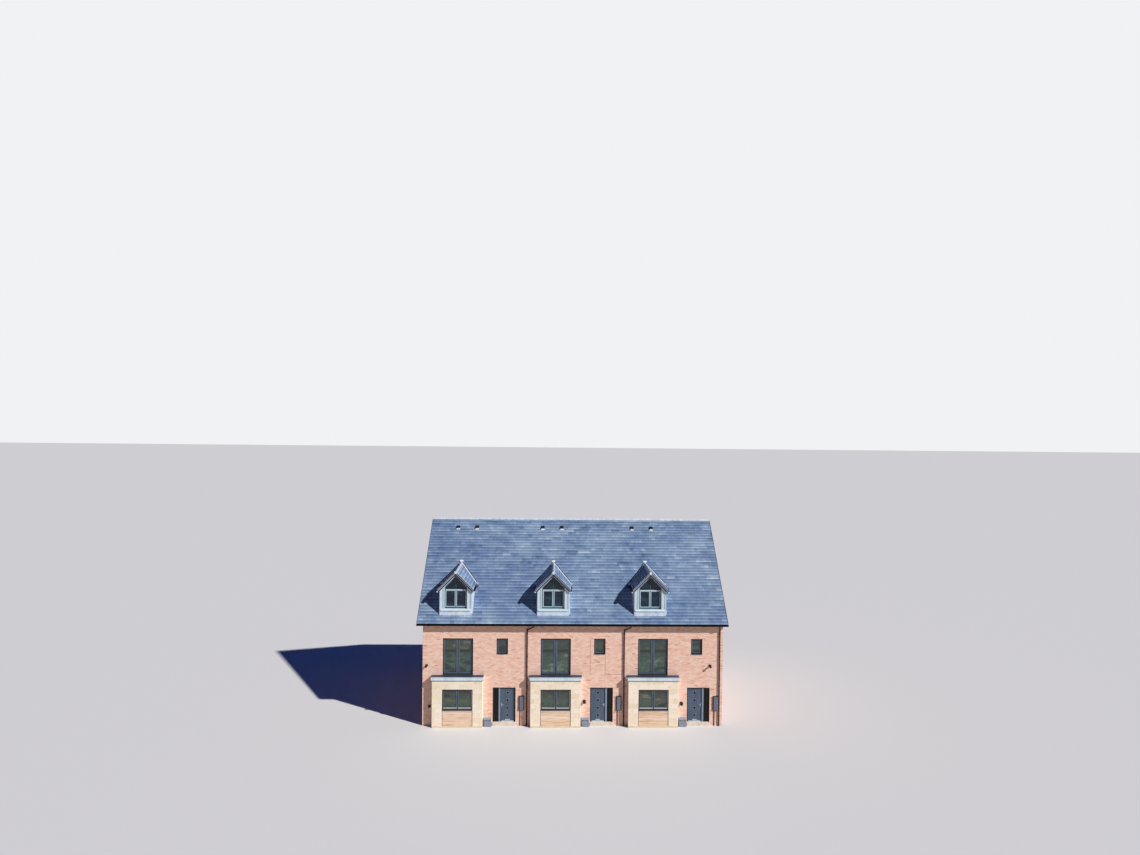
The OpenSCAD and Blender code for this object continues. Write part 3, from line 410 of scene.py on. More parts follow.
# Float glass in double-glazed units with a slight roller wave: the lower windows hold a painted
# reflection of greens and browns, lighter and darker from storey to storey, the dormers a painted
# reflection of the blue of the sky
glass = float_glass(
    "float_glass_double", [(0.36, "#173439"), (0.46, "#618777"), (0.54, "#446763"),
                           (0.62, "#7d8670"), (0.72, "#b4ccc1")], 0.8, reflection_bands=[
        # bands of painted reflection by height, with a dark painted horizon line from 0.725 to 0.745
        (0.18, "#8fb09c"), (0.26, "#e6dccb"), (0.36, "#7d756d"), (0.5, "#d9fff0"), (0.715, "#aec3b2"),
        (0.725, "#5a4e44"), (0.745, "#5a4e44"), (0.755, "#c2c8bb"), (0.86, "#93988d")])
dormer_glass = float_glass("float_glass_dormer", [(0.35, "#081a33"), (0.5, "#15344f"), (0.65, "#2b5361")],
                           0.35, 0.0, 0.3)
# The same glass in the doors' small lights and the side lights: nearly black, painted shade of a
# dark hall behind
door_glass = float_glass("float_glass_door_light", [(0.4, "#05080a"), (0.6, "#0c1418")], 0.2, 0.0, 0.12)

for material, nodes in (
        (floated_concrete, "ground_floors"), (floorboards, "first_floors second_floors"),
        (brickwork, "front_wall_piers front_wall_upper rear_wall_lower rear_wall_upper "
                    "gable_wall_left gable_wall_right"),
        (blockwork, "party_walls"), (roof_slab, "roof_front roof_rear dormer_roofs"),
        (ridge_clay, "ridge_tiles"), (dark_paint, "bargeboards eaves_boards"),
        (gutter_plastic, "gutters"), (pipe_plastic, "downpipes"), (vent_plastic, "roof_vents"),
        (flue_plastic, "flue_terminals"), (pale_coat, "dormer_fronts"),
        (lead_sheet, "dormer_cheeks dormer_flashings"), (pale_board_coat, "dormer_bargeboards"),
        (dormer_frame_coat, "dormer_frames"), (dormer_glass, "dormer_glass"),
        (stone_core, "bay_bases bay_piers bay_heads"), (infill_stain, "bay_panels"),
        (bay_zinc, "bay_roofs"), (frame_coat, "front_window_frames rear_window_frames"),
        (glass, "front_window_glass rear_window_glass"), (sill_coat, "window_sills"),
        (dark_frame_coat, "door_frames rooflights"), (step_concrete, "thresholds"),
        (door_skin, "door_leaf_left door_leaf_middle door_leaf_right rear_doors"),
        (door_glass, "door_glass_left door_glass_middle door_glass_right"),
        (brushed_steel, "door_furniture_left door_furniture_middle door_furniture_right"),
        (gas_box_shell, "gas_boxes"), (meter_box_shell, "electric_boxes")):
    for node in nodes.split():
        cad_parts[node].data.materials.clear()
        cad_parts[node].data.materials.append(material)


# Making and placing pieces


def place_piece(name, form, material, body="terrace"):
    """Makes a piece out of a bmesh, with a material, on a body of the part."""
    mesh = bpy.data.meshes.new(name)
    form.to_mesh(mesh)
    form.free()
    mesh.materials.append(material)
    piece = bpy.data.objects.new(name, mesh)
    scene.collection.objects.link(piece)
    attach(piece, body)


def unique(things):
    """Lists things once each in their first order, which a set would not keep from run to run."""
    return list(dict.fromkeys(things))


def box(form, corner, opposite):
    """Adds a plain box between two opposite corners and gives its vertices."""
    verts = bmesh.ops.create_cube(form, size=1.0)["verts"]
    bmesh.ops.scale(form, vec=[abs(b - a) for a, b in zip(corner, opposite)], verts=verts)
    bmesh.ops.translate(form, vec=[(a + b) / 2 for a, b in zip(corner, opposite)], verts=verts)
    return verts


def block(form, corner, opposite, bevel=0.0, turn=None, tone=None):
    """Adds a closed block between two opposite corners, eases its edges, turns it and tones it."""
    verts = box(form, corner, opposite)
    if bevel:
        edges = unique(edge for vert in verts for edge in vert.link_edges)
        made = bmesh.ops.bevel(form, geom=edges, offset=bevel, offset_type="OFFSET", segments=1,
                               profile=0.5, material=-1, affect="EDGES")
        verts = unique(vert for face in made["faces"] for vert in face.verts)
    if turn:
        bmesh.ops.transform(form, matrix=turn, verts=verts)
    if tone is not None:
        layer = form.verts.layers.float["tone"]
        for vert in verts:
            vert[layer] = tone


def ring(form, corner, opposite, width):
    """Adds a rectangular frame as wide as given round a hole that goes through along Y."""
    verts = box(form, corner, opposite)
    faces = [f for f in unique(f for v in verts for f in v.link_faces) if abs(f.normal.y) > 0.5]
    bmesh.ops.inset_individual(form, faces=faces, thickness=width, use_even_offset=True)
    edges = [edge for face in faces for edge in face.edges]
    bmesh.ops.delete(form, geom=faces, context="FACES_ONLY")
    bmesh.ops.bridge_loops(form, edges=edges)


def collar(form, centre, radius, low, high, turn):
    """Adds a round collar with eased rims between two heights on a turned axis."""
    verts = bmesh.ops.create_cone(form, cap_ends=True, segments=20, radius1=radius, radius2=radius,
                                  depth=high - low)["verts"]
    bmesh.ops.translate(form, vec=(0, 0, (low + high) / 2), verts=verts)
    rims = unique(edge for vert in verts for edge in vert.link_edges
                  if any(len(face.verts) > 4 for face in edge.link_faces))
    made = bmesh.ops.bevel(form, geom=rims, offset=(high - low) * 0.15, offset_type="OFFSET", segments=2,
                           profile=0.5, material=-1, affect="EDGES")
    verts = unique([vert for vert in verts if vert.is_valid]
                   + [vert for face in made["faces"] for vert in face.verts])
    bmesh.ops.transform(form, matrix=Matrix.Translation(centre) @ turn, verts=verts)


def blocks_piece(name, blocks, material, bevel, body="terrace"):
    """Makes one piece out of eased blocks: two opposite corners, then a turn and a tone if any."""
    form = bmesh.new()
    form.verts.layers.float.new("tone")
    for corner, opposite, *turn_and_tone in blocks:
        block(form, corner, opposite, bevel, *turn_and_tone)
    place_piece(name, form, material, body)


def copy_to(name, shape, places):
    """Copies a small bmesh to many places with Geometry Nodes and gives the joined bmesh.

    Each place holds a position, a turn and a stretch as (x, y, z), and a tone from 0 to 1.
    """
    pattern = bpy.data.objects.new(name + "_pattern", bpy.data.meshes.new(name + "_pattern"))
    shape.to_mesh(pattern.data)
    points = bpy.data.meshes.new(name + "_points")
    points.vertices.add(len(places))
    points.vertices.foreach_set("co", [v for place in places for v in place[0]])
    for column, label in ((1, "turn"), (2, "stretch")):
        layer = points.attributes.new(label, "FLOAT_VECTOR", "POINT")
        layer.data.foreach_set("vector", [v for place in places for v in place[column]])
    points.attributes.new("tone", "FLOAT", "POINT").data.foreach_set("value", [p[3] for p in places])
    carrier = bpy.data.objects.new(name + "_carrier", points)
    for thing in (pattern, carrier):
        scene.collection.objects.link(thing)
    graph = bpy.data.node_groups.new(name, "GeometryNodeTree")
    for in_out in ("INPUT", "OUTPUT"):
        graph.interface.new_socket("Geometry", in_out=in_out, socket_type="NodeSocketGeometry")
    turn, stretch = [add(graph, "GeometryNodeInputNamedAttribute", {"Name": label}, data_type="FLOAT_VECTOR")
                     for label in ("turn", "stretch")]
    copies = add(graph, "GeometryNodeInstanceOnPoints", {
        "Points": add(graph, "NodeGroupInput"), "Rotation": turn, "Scale": stretch,
        "Instance": add(graph, "GeometryNodeObjectInfo", {"Object": pattern}).outputs["Geometry"]})
    joined = add(graph, "GeometryNodeRealizeInstances", {"Geometry": copies})
    add(graph, "NodeGroupOutput", {"Geometry": joined})
    carrier.modifiers.new(name, "NODES").node_group = graph
    mesh = bpy.data.meshes.new_from_object(carrier.evaluated_get(bpy.context.evaluated_depsgraph_get()))
    for label in ("turn", "stretch"):
        mesh.attributes.remove(mesh.attributes[label])
    for thing in (pattern, carrier):
        bpy.data.objects.remove(thing)
    form = bmesh.new()
    form.from_mesh(mesh)
    return form


def tone_near(middle, spread_by, low=0.0):
    """Gives a random tone round a middle one, from low to 1."""
    return min(1.0, max(low, random.gauss(middle, spread_by)))


# Brickwork: separate bricks in stretcher bond, 4 mm proud of their joints

brick_proud, brick_sunk = 0.004, 0.010
# the gables' darker tone is painted shade that holds back the brighter sun on them
batch_tone, gable_painted_shade_tone = 0.82, 0.25


def block_pattern(easing):
    """A block one metre wide and high and as deep as a brick stands proud, its front edges eased."""
    form = bmesh.new()
    box(form, (-0.5, -brick_proud, -0.5), (0.5, brick_sunk, 0.5))
    front = [face for face in form.faces if face.normal.y < -0.5]
    made = bmesh.ops.inset_individual(form, faces=front, thickness=easing)
    rim = unique(vert for face in made["faces"] for vert in face.verts if vert not in front[0].verts)
    bmesh.ops.translate(form, vec=(0, brick_proud / 2, 0), verts=rim)
    return form


def courses(low, top, ends, openings, width=brick_long, height=brick_course):
    """Cuts a wall into the blocks of its courses: left, right, bottom and top of each.

    Ends gives the wall's left and right at a height; slivers of blocks are left out.
    """
    thin_course, thin_end, gap = 0.015, 0.05, 0.002
    blocks = []
    number = int(low // height)
    while number * height < top - 0.02:
        bottom = max(number * height + mortar_joint / 2, low)
        head = min((number + 1) * height - mortar_joint / 2, top)
        spans = [(*ends((bottom + head) / 2), bottom, head)]
        for x0, x1, z0, z1 in openings:
            kept = []
            for a, b, c, d in spans:
                if x1 <= a or x0 >= b or z1 <= c or z0 >= d:
                    kept.append((a, b, c, d))
                    continue
                kept += [(a, x0, c, d)] if x0 > a else []
                kept += [(x1, b, c, d)] if x1 < b else []
                kept += [(max(a, x0), min(b, x1), z1 + gap, d)] if z1 < d - thin_course else []
                kept += [(max(a, x0), min(b, x1), c, z0 - gap)] if z0 > c + thin_course else []
            spans = kept
        shift = width / 2 if number % 2 == 0 else 0.0
        for a, b, c, d in spans:
            first, last = math.floor((a + shift) / width) + 1, int((b + shift) / width) + 1
            joints = [j * width - shift for j in range(first, last + 1)]
            joints = [j for j in joints if a + thin_end < j < b - thin_end]
            cuts = [a - mortar_joint / 2] + joints + [b + mortar_joint / 2]
            blocks += [(p + mortar_joint / 2, q - mortar_joint / 2, c, d)
                       for p, q in zip(cuts, cuts[1:]) if q - p > 2 * mortar_joint]
        number += 1
    return blocks


def brick_places(blocks, spot, turn, middle_tone=batch_tone):
    """Turns blocks of a wall into places for copies; spot gives the point on the wall's face.

    Middle tone is the blocks' middle tone; the gables' is darker, painted shade against their brighter sun.
    """
    return [(spot((a + b) / 2, (c + d) / 2), (0.0, 0.0, turn), (b - a, 1.0, d - c), tone_near(middle_tone, 0.2))
            for a, b, c, d in blocks]


def shifted(openings, middle):
    """The openings of one house, moved to its place in the row."""
    return [(x0 + middle, x1 + middle, z0, z1) for x0, x1, z0, z1 in openings]


def gable_ends(height):
    """The ends of a gable's course, which follow the roof above the eaves."""
    reach = min(wall_out, ridge_height - 0.2 - height)
    return -reach, reach


front_blocks, rear_blocks = [
    courses(0.0, soffit_height, lambda z: (wall_left - brick_proud, wall_right + brick_proud),
            [opening for middle in house_middles for opening in shifted(openings, middle)])
    for openings in ((tall_window, small_window, bay_opening, door_opening),
                     (rear_door, rear_low_window, rear_wide_window, small_window))]
gable_blocks = courses(0.0, ridge_height - 0.42, gable_ends, [])
brick_shape = block_pattern(0.02)
for name, blocks, spot, turn, middle_tone in (
        ("front_bricks", front_blocks, lambda x, z: (x, -wall_out, z), 0.0, batch_tone),
        ("rear_bricks", rear_blocks, lambda x, z: (x, wall_out, z), math.pi, batch_tone),
        ("left_gable_bricks", gable_blocks, lambda y, z: (wall_left, y, z), -math.pi / 2, gable_painted_shade_tone),
        ("right_gable_bricks", gable_blocks, lambda y, z: (wall_right, y, z), math.pi / 2, gable_painted_shade_tone)):
    bricks = copy_to(name, brick_shape, brick_places(blocks, spot, turn, middle_tone))
    place_piece(name, bricks, facing_brick)

# Bays: sawn stone blocks on the piers, the head and the sides, above a low brick plinth

stone_low, stone_long, stone_course = 0.10, 0.60, 0.2925
stone_places = []
for middle in house_middles:
    window_and_boards = (*bay_window[:2], 0.0, bay_window[3])
    face_blocks = courses(stone_low, bay_roof_low, lambda z: (middle + bay_left, middle + bay_right),
                          shifted((window_and_boards,), middle), stone_long, stone_course)
    stone_places += brick_places(face_blocks, lambda x, z: (x, bay_face, z), 0.0)
    side_blocks = courses(stone_low, bay_roof_low, lambda z: (bay_face, -wall_out - brick_proud), [],
                          stone_long, stone_course)
    stone_places += brick_places(side_blocks, lambda y, z: (middle + bay_left, y, z), -math.pi / 2)
    stone_places += brick_places(side_blocks, lambda y, z: (middle + bay_right, y, z), math.pi / 2)
place_piece("bay_stones", copy_to("bay_stones", block_pattern(0.01), stone_places), bath_stone)

# Slates: tapered blocks in courses, each tail standing on the course below

slate_wide, slate_gauge, slate_lap, slate_thick = 0.2504, 0.2115, 0.034, 0.007
slate_long = slate_gauge + slate_lap
slope_length = eaves_out * slope_slant - 0.06


def on_slope(x, out, rear=False):
    """Gives the frame of a spot on a main slope: along the row, up the slope, off the slates."""
    return (Matrix.Translation((x, out if rear else -out, ridge_height - out))
            @ Matrix.Rotation(math.pi if rear else 0.0, 4, "Z") @ Matrix.Rotation(math.pi / 4, 4, "X"))


def slate_pattern():
    """A slate one metre wide, its tail at the origin: thick at the tail, thin at the head."""
    form = bmesh.new()
    layer = form.verts.layers.float.new("tail")
    for vert in box(form, (-0.5, 0.0, 0.0), (0.5, slate_long, slate_thick)):
        is_tail = vert.co.y < slate_long / 2
        vert.co.z += 0.004 if is_tail else -0.005
        vert[layer] = float(is_tail)
    return form


def slate_tones(count):
    """Tones of a row: slates out of one stack lie side by side, so they come in short runs."""
    tones = []
    while len(tones) < count:
        tones += [random.gauss(0.5, 0.16)] * random.randint(1, 4)
    return [tone_near(tone, 0.08) for tone in tones[:count]]


def slate_rows(low, high, length, eaves):
    """Places of the slates on a slope: middle, tail's way out from the ridge, width and tone of each."""
    slates = []
    count = round((high - low) / slate_wide)
    for row in range(math.ceil((length - slate_lap) / slate_gauge)):
        shift = slate_wide / 2 if row % 2 else 0.0
        edges = [low] + [low + i * slate_wide + shift for i in range(0 if shift else 1, count)] + [high]
        for a, b, tone in zip(edges, edges[1:], slate_tones(len(edges) - 1)):
            slates.append(((a + b) / 2, eaves - row * slate_gauge / slope_slant, b - a - 0.003, tone))
    return slates


def add_trimmed(form, shape, matrix, tone, planes):
    """Adds the part of one slate that lies on the inner side of some upright planes."""
    part = bmesh.new()
    part.from_mesh(shape)
    layer = part.verts.layers.float.new("tone")
    for vert in part.verts:
        vert[layer] = tone
    bmesh.ops.transform(part, matrix=matrix, verts=part.verts)
    for spot, away in planes:
        geometry = part.verts[:] + part.edges[:] + part.faces[:]
        cut = bmesh.ops.bisect_plane(part, geom=geometry, dist=1e-6, plane_co=spot, plane_no=away,
                                     clear_outer=True)["geom_cut"]
        edges = [item for item in cut if isinstance(item, bmesh.types.BMEdge)]
        if edges:
            bmesh.ops.holes_fill(part, edges=edges)
    if len(part.faces) > 3:
        mesh = bpy.data.meshes.new("part")
        part.to_mesh(mesh)
        form.from_mesh(mesh)
        bpy.data.meshes.remove(mesh)
    part.free()


def lay_slates(name, slates, matrix_of, regions_of):
    """Copies the whole slates to their places and adds the cut ones to the same piece.

    Regions are where a slate is kept: None is everywhere, and each region is a list of planes.
    """
    pattern = slate_pattern()
    shape = bpy.data.meshes.new("slate")
    pattern.to_mesh(shape)
    placed = [(matrix_of(slate), slate[2], slate[3], regions_of(slate)) for slate in slates]
    form = copy_to(name, pattern, [
        (matrix.translation[:], matrix.to_euler()[:], (width, 1.0, 1.0), tone)
        for matrix, width, tone, regions in placed if regions is None])
    for matrix, width, tone, regions in placed:
        for planes in regions or []:
            add_trimmed(form, shape, matrix @ Matrix.Diagonal((width, 1, 1, 1)), tone, planes)
    place_piece(name, form, riven_slate)


dormer_ridge_end = dormer_ridge_height - ridge_height  # where a dormer's ridge meets the main slope
valley_front = dormer_ridge_end + 0.08
apron_edge = -5.195
beside_cheek = dormer_side + 0.015
ridge_sheet_half = 0.095


def front_regions(slate):
    """Keeps a slate outside the dormers' cheeks, aprons and valleys."""
    x, tail, half = slate[0], -slate[1], slate[2] / 2
    head = tail + slate_long / slope_slant
    for middle in dormer_middles:
        near, far = sorted((abs(x - half - middle), abs(x + half - middle)))
        if x - half < middle < x + half:
            near = 0.0
        if near > dormer_eaves_out + 0.02 or head < apron_edge or tail > valley_front:
            continue
        if near > beside_cheek and head < valley_front - dormer_eaves_out - 0.25:
            continue
        if far < beside_cheek and tail > apron_edge and head < valley_front - far:
            return []
        regions = []
        for way in (-1, 1):
            inward, outward = (-way, 0, 0), (way, 0, 0)
            centre = ((middle, 0, 0), inward)
            cheek = (middle + way * beside_cheek, 0, 0)
            above_valley = ((middle, valley_front, 0), (-way, -1, 0))
            below_valley = ((middle, valley_front - 0.22, 0), (way, 1, 0))
            under_sill = ((middle, apron_edge, 0), (0, 1, 0))
            regions += [(centre, above_valley), ((cheek, inward), below_valley),
                        (centre, (cheek, outward), under_sill)]
        return regions
    return None


def rear_regions(slate):
    """Keeps a slate outside the rooflights."""
    x, tail, half = slate[0], slate[1], slate[2] / 2
    low, high = [rooflight_out + end * rooflight_long / slope_slant for end in (1, -1)]
    for middle in house_middles:
        left, right = middle - rooflight_wide, middle + rooflight_wide
        if x + half < left or x - half > right or tail < high or tail - slate_long / slope_slant > low:
            continue
        between = (((left, 0, 0), (-1, 0, 0)), ((right, 0, 0), (1, 0, 0)))
        return [(((left, 0, 0), (1, 0, 0)),), (((right, 0, 0), (-1, 0, 0)),),
                (*between, ((0, low, 0), (0, -1, 0))), (*between, ((0, high, 0), (0, 1, 0)))]
    return None


for name, rear, regions_of in (("front_slates", False, front_regions), ("rear_slates", True, rear_regions)):
    lay_slates(name, slate_rows(verge_left, verge_right, slope_length, eaves_out),
               lambda slate: on_slope(slate[0], slate[1], rear), regions_of)


def dormer_slate_matrix(slate):
    """Gives the place of a slate on a dormer; its row runs from front to back."""
    y, out, _, _, middle, way = slate
    return (Matrix.Translation((middle + way * out, y, dormer_ridge_height - out))
            @ Matrix.Rotation(way * math.pi / 2, 4, "Z") @ Matrix.Rotation(math.pi / 4, 4, "X"))


def dormer_regions(slate):
    """Keeps a dormer's slate in front of its valley and below its ridge sheet."""
    y, out, width, _, middle, way = slate
    back = dormer_ridge_end - out
    if y + width / 2 < back - 0.03 and out - slate_long / slope_slant > ridge_sheet_half:
        return None
    if y - width / 2 > back + 0.35:
        return []
    return [(((middle, dormer_ridge_end - 0.012, 0), (way, 1, 0)),
             ((middle + way * ridge_sheet_half, 0, 0), (-way, 0, 0)))]


dormer_roof_back, dormer_slope_length = dormer_roof_front + 11 * slate_wide, 1.36
dormer_rows = [
    (*slate[:3], max(0.0, slate[3] - 0.2), middle, way) for middle in dormer_middles for way in (-1, 1)
    for slate in slate_rows(dormer_roof_front, dormer_roof_back, dormer_slope_length, dormer_eaves_out)]
lay_slates("dormer_slates", dormer_rows, dormer_slate_matrix, dormer_regions)


# Roof details: blocks in the frame of their slope, whose Y runs up it and whose Z stands off it

joint_step, joint_half, ridge_reach = 0.45, 0.007, 0.115
ridge_joints = [
    ((-joint_half, -ridge_reach * slope_slant, -0.004), (joint_half, -0.004, 0.017),
     on_slope(verge_left + i * joint_step, 0.0, rear))
    for i in range(1, int((verge_right - verge_left) / joint_step)) for rear in (False, True)]
blocks_piece("ridge_joints", ridge_joints, pointing, 0.002)

strip_middle, strip_half = 0.018, 0.016
verge_strips = [((-strip_half, -slope_length, -0.002), (strip_half, -0.16, 0.017), on_slope(x, 0.0, rear))
                for x in (verge_left + strip_middle, verge_right - strip_middle) for rear in (False, True)]
blocks_piece("verge_strips", verge_strips, roof_slab, 0.004)

vent_middles, vent_out = (-7.68, -6.42, -2.03, -0.76, 3.94, 5.23), 0.54
vent_grilles = []
for x in vent_middles:
    turn = on_slope(x, vent_out)
    vent_grilles.append(((-0.105, -0.148, 0.004), (0.105, -0.128, 0.060), turn))
    vent_grilles.append(((-0.115, -0.215, 0.006), (0.115, -0.146, 0.017), turn))
    vent_grilles += [((bar - 0.004, -0.154, 0.008), (bar + 0.004, -0.146, 0.058), turn)
                     for bar in (-0.08, -0.04, 0.0, 0.04, 0.08)]
blocks_piece("vent_grilles", vent_grilles, bright_coat, 0.002)

flashing_wide, cover_wide = 0.13, 0.07
flashing_side, flashing_end = rooflight_wide + flashing_wide, rooflight_long + flashing_wide
flashings, covers = [], []
for middle in house_middles:
    turn = on_slope(middle, rooflight_out, rear=True)
    for side in (-1, 1):
        flashings.append(((side * rooflight_wide, -flashing_end, 0.004),
                          (side * flashing_side, flashing_end, 0.018), turn))
        flashings.append(((-rooflight_wide, side * rooflight_long, 0.004),
                          (rooflight_wide, side * (rooflight_long + flashing_wide * 1.2), 0.020), turn))
        covers.append(((side * (rooflight_wide - cover_wide), -rooflight_long - 0.008, 0.055),
                       (side * (rooflight_wide + 0.008), rooflight_long + 0.008, 0.082), turn))
        covers.append(((-rooflight_wide - 0.004, side * (rooflight_long - cover_wide - 0.005), 0.057),
                       (rooflight_wide + 0.004, side * (rooflight_long + 0.01), 0.086), turn))
blocks_piece("rooflight_flashings", flashings, lead_sheet, 0.003)
blocks_piece("rooflight_covers", covers, dark_paint, 0.005)

# Dormer trims: dark boards and a bright edge down each verge, dark boards under the bargeboards that
# are partly painted shade of the overhang, lead beside the cheeks, a black strip of painted shade and
# a lead edge along each valley, a saddle at its top, a cap on the transom, and ends on the small
# gutters whose bright coat is painted glint

trims = defaultdict(list)
dormer_slope = (dormer_eaves_out + 0.012) * slope_slant
cheek_low, cheek_high = -5.10 * slope_slant, -3.70 * slope_slant
valley_start, valley_end, valley_wide = 0.06, 1.87, 0.045
gutter_side, gutter_half, transom_half = 1.103, 0.041, 0.62
for middle in dormer_middles:
    for way in (-1, 1):
        down_verge = (Matrix.Translation((middle, 0.0, dormer_ridge_height))
                      @ Matrix.Rotation(way * math.pi / 4, 4, "Y"))
        foot = way * dormer_slope
        for trim, start, front, back, low, high in (
                ("dormer_verges", 0.0, -5.268, -5.205, -0.006, 0.022),
                ("dormer_edge_trims", 0.0, -5.264, -5.236, 0.022, 0.031),
                # dark soffit boards under the bargeboards, partly painted shade of the overhang
                ("dormer_underboards", 0.12, -5.244, -5.222, -0.142, -0.078)):
            trims[trim].append(((way * start, front, low), (foot, back, high), down_verge))
        cheek, turn = way * dormer_side, on_slope(middle, 0.0)
        for wide, high in ((0.055, 0.016), (0.007, 0.10)):
            trims["dormer_soakers"].append(
                ((cheek, cheek_low, 0.006), (cheek + way * wide, cheek_high, high), turn))
        down_valley, off_slope = Vector((way, -1, -1)).normalized(), Vector((0, -1, 1)).normalized()
        turn = Matrix.Translation((middle, valley_front, ridge_height + valley_front)) @ Matrix(
            (down_valley, off_slope.cross(down_valley), off_slope)).transposed().to_4x4()
        # a black strip of painted shade along each valley, and a bright lead edge beside it
        for trim, side, high in (("dormer_valley_seals", way, 0.019), ("dormer_valley_edges", -way, 0.016)):
            trims[trim].append(((valley_start, 0.0, 0.002), (valley_end, side * valley_wide, high), turn))
        x = middle + way * gutter_side
        # bright stop ends: painted glints on the small gutters
        trims["gutter_stop_ends"].append(((x - gutter_half, -5.236, 8.064), (x + gutter_half, -5.224, 8.128)))
    saddle = on_slope(middle, -valley_front)
    trims["dormer_valley_edges"].append(((-0.10, -0.03, 0.004), (0.10, 0.10, 0.022), saddle))
    trims["dormer_transom_caps"].append(
        ((middle - transom_half, -5.069, 8.166), (middle + transom_half, -5.048, 8.214)))
for name, material, slot, bevel in (
        ("dormer_verges", dark_paint, "dark_board", 0.003),
        ("dormer_valley_seals", rubber, "black_plastic", 0.004),
        ("dormer_valley_edges", new_lead, "lead", 0.004),
        ("dormer_transom_caps", pale_coat, "pale_trim", 0.004),
        ("dormer_underboards", dark_paint, "dark_board", 0.003),
        ("dormer_edge_trims", bright_coat, "pale_trim", 0.002),
        ("dormer_soakers", lead_sheet, "lead", 0.002),
        ("gutter_stop_ends", bright_coat, "black_gutter", 0.004)):
    blocks_piece(name, trims[name], material, bevel)

# Gutter brackets and pipe clips

gutter_middle, gutter_height, gutter_radius = 5.54, 6.18, 0.060
bracket_count, bracket_wide, bracket_thick = 21, 0.03, 0.006
bracket_step = (verge_right - verge_left - 0.5) / (bracket_count - 1)
form = bmesh.new()
for i in range(bracket_count):
    x = verge_left + 0.25 + i * bracket_step
    for side in (-1, 1):
        centre = (x, side * gutter_middle, gutter_height)
        rim = (x, side * (gutter_middle + gutter_radius + bracket_thick / 2), gutter_height)
        verts = bmesh.ops.create_grid(form, x_segments=1, y_segments=1, size=0.5)["verts"]
        bmesh.ops.scale(form, vec=(bracket_wide, bracket_thick, 1.0), verts=verts)
        bmesh.ops.translate(form, vec=rim, verts=verts)
        face = verts[0].link_faces[0]
        bmesh.ops.spin(form, geom=[face] + list(face.edges) + verts, cent=centre, axis=(1, 0, 0),
                       angle=-side * math.pi, steps=10, use_merge=False)
bmesh.ops.recalc_face_normals(form, faces=form.faces)
place_piece("gutter_brackets", form, gutter_plastic)

pipe_out, clip_radius, clip_half, ear_half = 5.309, 0.041, 0.017, 0.014
form = bmesh.new()
for side, pipes in ((-1, (-2.85, 3.03, 8.84)), (1, (-2.95, 2.95))):
    for x in pipes:
        for z in (0.6, 2.4, 4.2, 5.6):
            collar(form, (x, side * pipe_out, z), clip_radius, -clip_half, clip_half, Matrix())
            block(form, (x - 0.055, side * wall_out, z - ear_half),
                  (x + 0.055, side * (pipe_out - 0.01), z + ear_half), 0.003)
place_piece("pipe_clips", form, pipe_plastic)

# Bays: boards below the window with a black strip of painted shade at each end, straps and a drip on
# the roof's skirt

board_count, board_low, board_high = 8, 0.104, 1.036
board_step = (board_high - board_low) / board_count
strap_low, strap_high, drip_low, drip_high = 2.866, 3.028, 2.846, 2.864
boards, straps, drips, gaps = [], [], [], []
for middle in house_middles:
    for i in range(board_count):
        bottom = board_low + i * board_step + 0.001
        top = bottom + board_step - 0.002
        boards.append(((middle - 1.984, -5.571, bottom), (middle - 0.216, -5.559, top), None,
                       tone_near(0.62, 0.2, 0.25)))
    left, right, front = middle + bay_left - 0.046, middle + bay_right + 0.046, bay_face - 0.046
    for x in (left + 0.63, left + 1.55, left + 2.47):
        straps.append(((x - 0.03, front - 0.005, strap_low), (x + 0.03, front + 0.003, strap_high)))
    for x in (left - 0.005, right - 0.035):
        straps.append(((x, front - 0.005, strap_low), (x + 0.04, front + 0.035, strap_high)))
    drips.append(((left - 0.006, front - 0.006, drip_low), (right + 0.006, front + 0.006, drip_high)))
    for x in (left - 0.006, right - 0.006):
        drips.append(((x, front + 0.004, drip_low), (x + 0.012, -wall_out - 0.006, drip_high)))
    # black strips at the boards' ends: painted shade of the gaps beside them
    for x in (middle - 2.009, middle - 0.211):
        gaps.append(((x, -5.575, board_low), (x + 0.020, -5.550, board_high)))
blocks_piece("bay_boards", boards, infill_stain, 0.004)
blocks_piece("bay_board_seals", gaps, rubber, 0.003)
blocks_piece("bay_roof_straps", straps, bright_coat, 0.002)
blocks_piece("bay_roof_drips", drips, sill_coat, 0.003)

# Windows: rubber round every light, dark casings on the front, whose near-black is partly painted
# shade of the reveals, and on the bays' sashes weather bars and an upright bar at the right of the
# last light, whose bright coat is painted glint

wide_sash, narrow_sash = 0.065, 0.042


def window_lights(middle, window, count, sash=narrow_sash):
    """Gives the clear openings inside the sashes of a window: left, right, bottom, top of each."""
    frame_wide, sash_lap, sill_high = 0.060, 0.014, 0.025
    x0, x1, z0, z1 = window
    edges = [middle + x0 + frame_wide / 2 + i * (x1 - x0 - frame_wide) / count for i in range(count + 1)]
    inset = frame_wide / 2 - sash_lap + sash
    return [(a + inset, b - inset, z0 + sill_high + frame_wide / 2 + inset, z1 - frame_wide / 2 - inset)
            for a, b in zip(edges, edges[1:])]


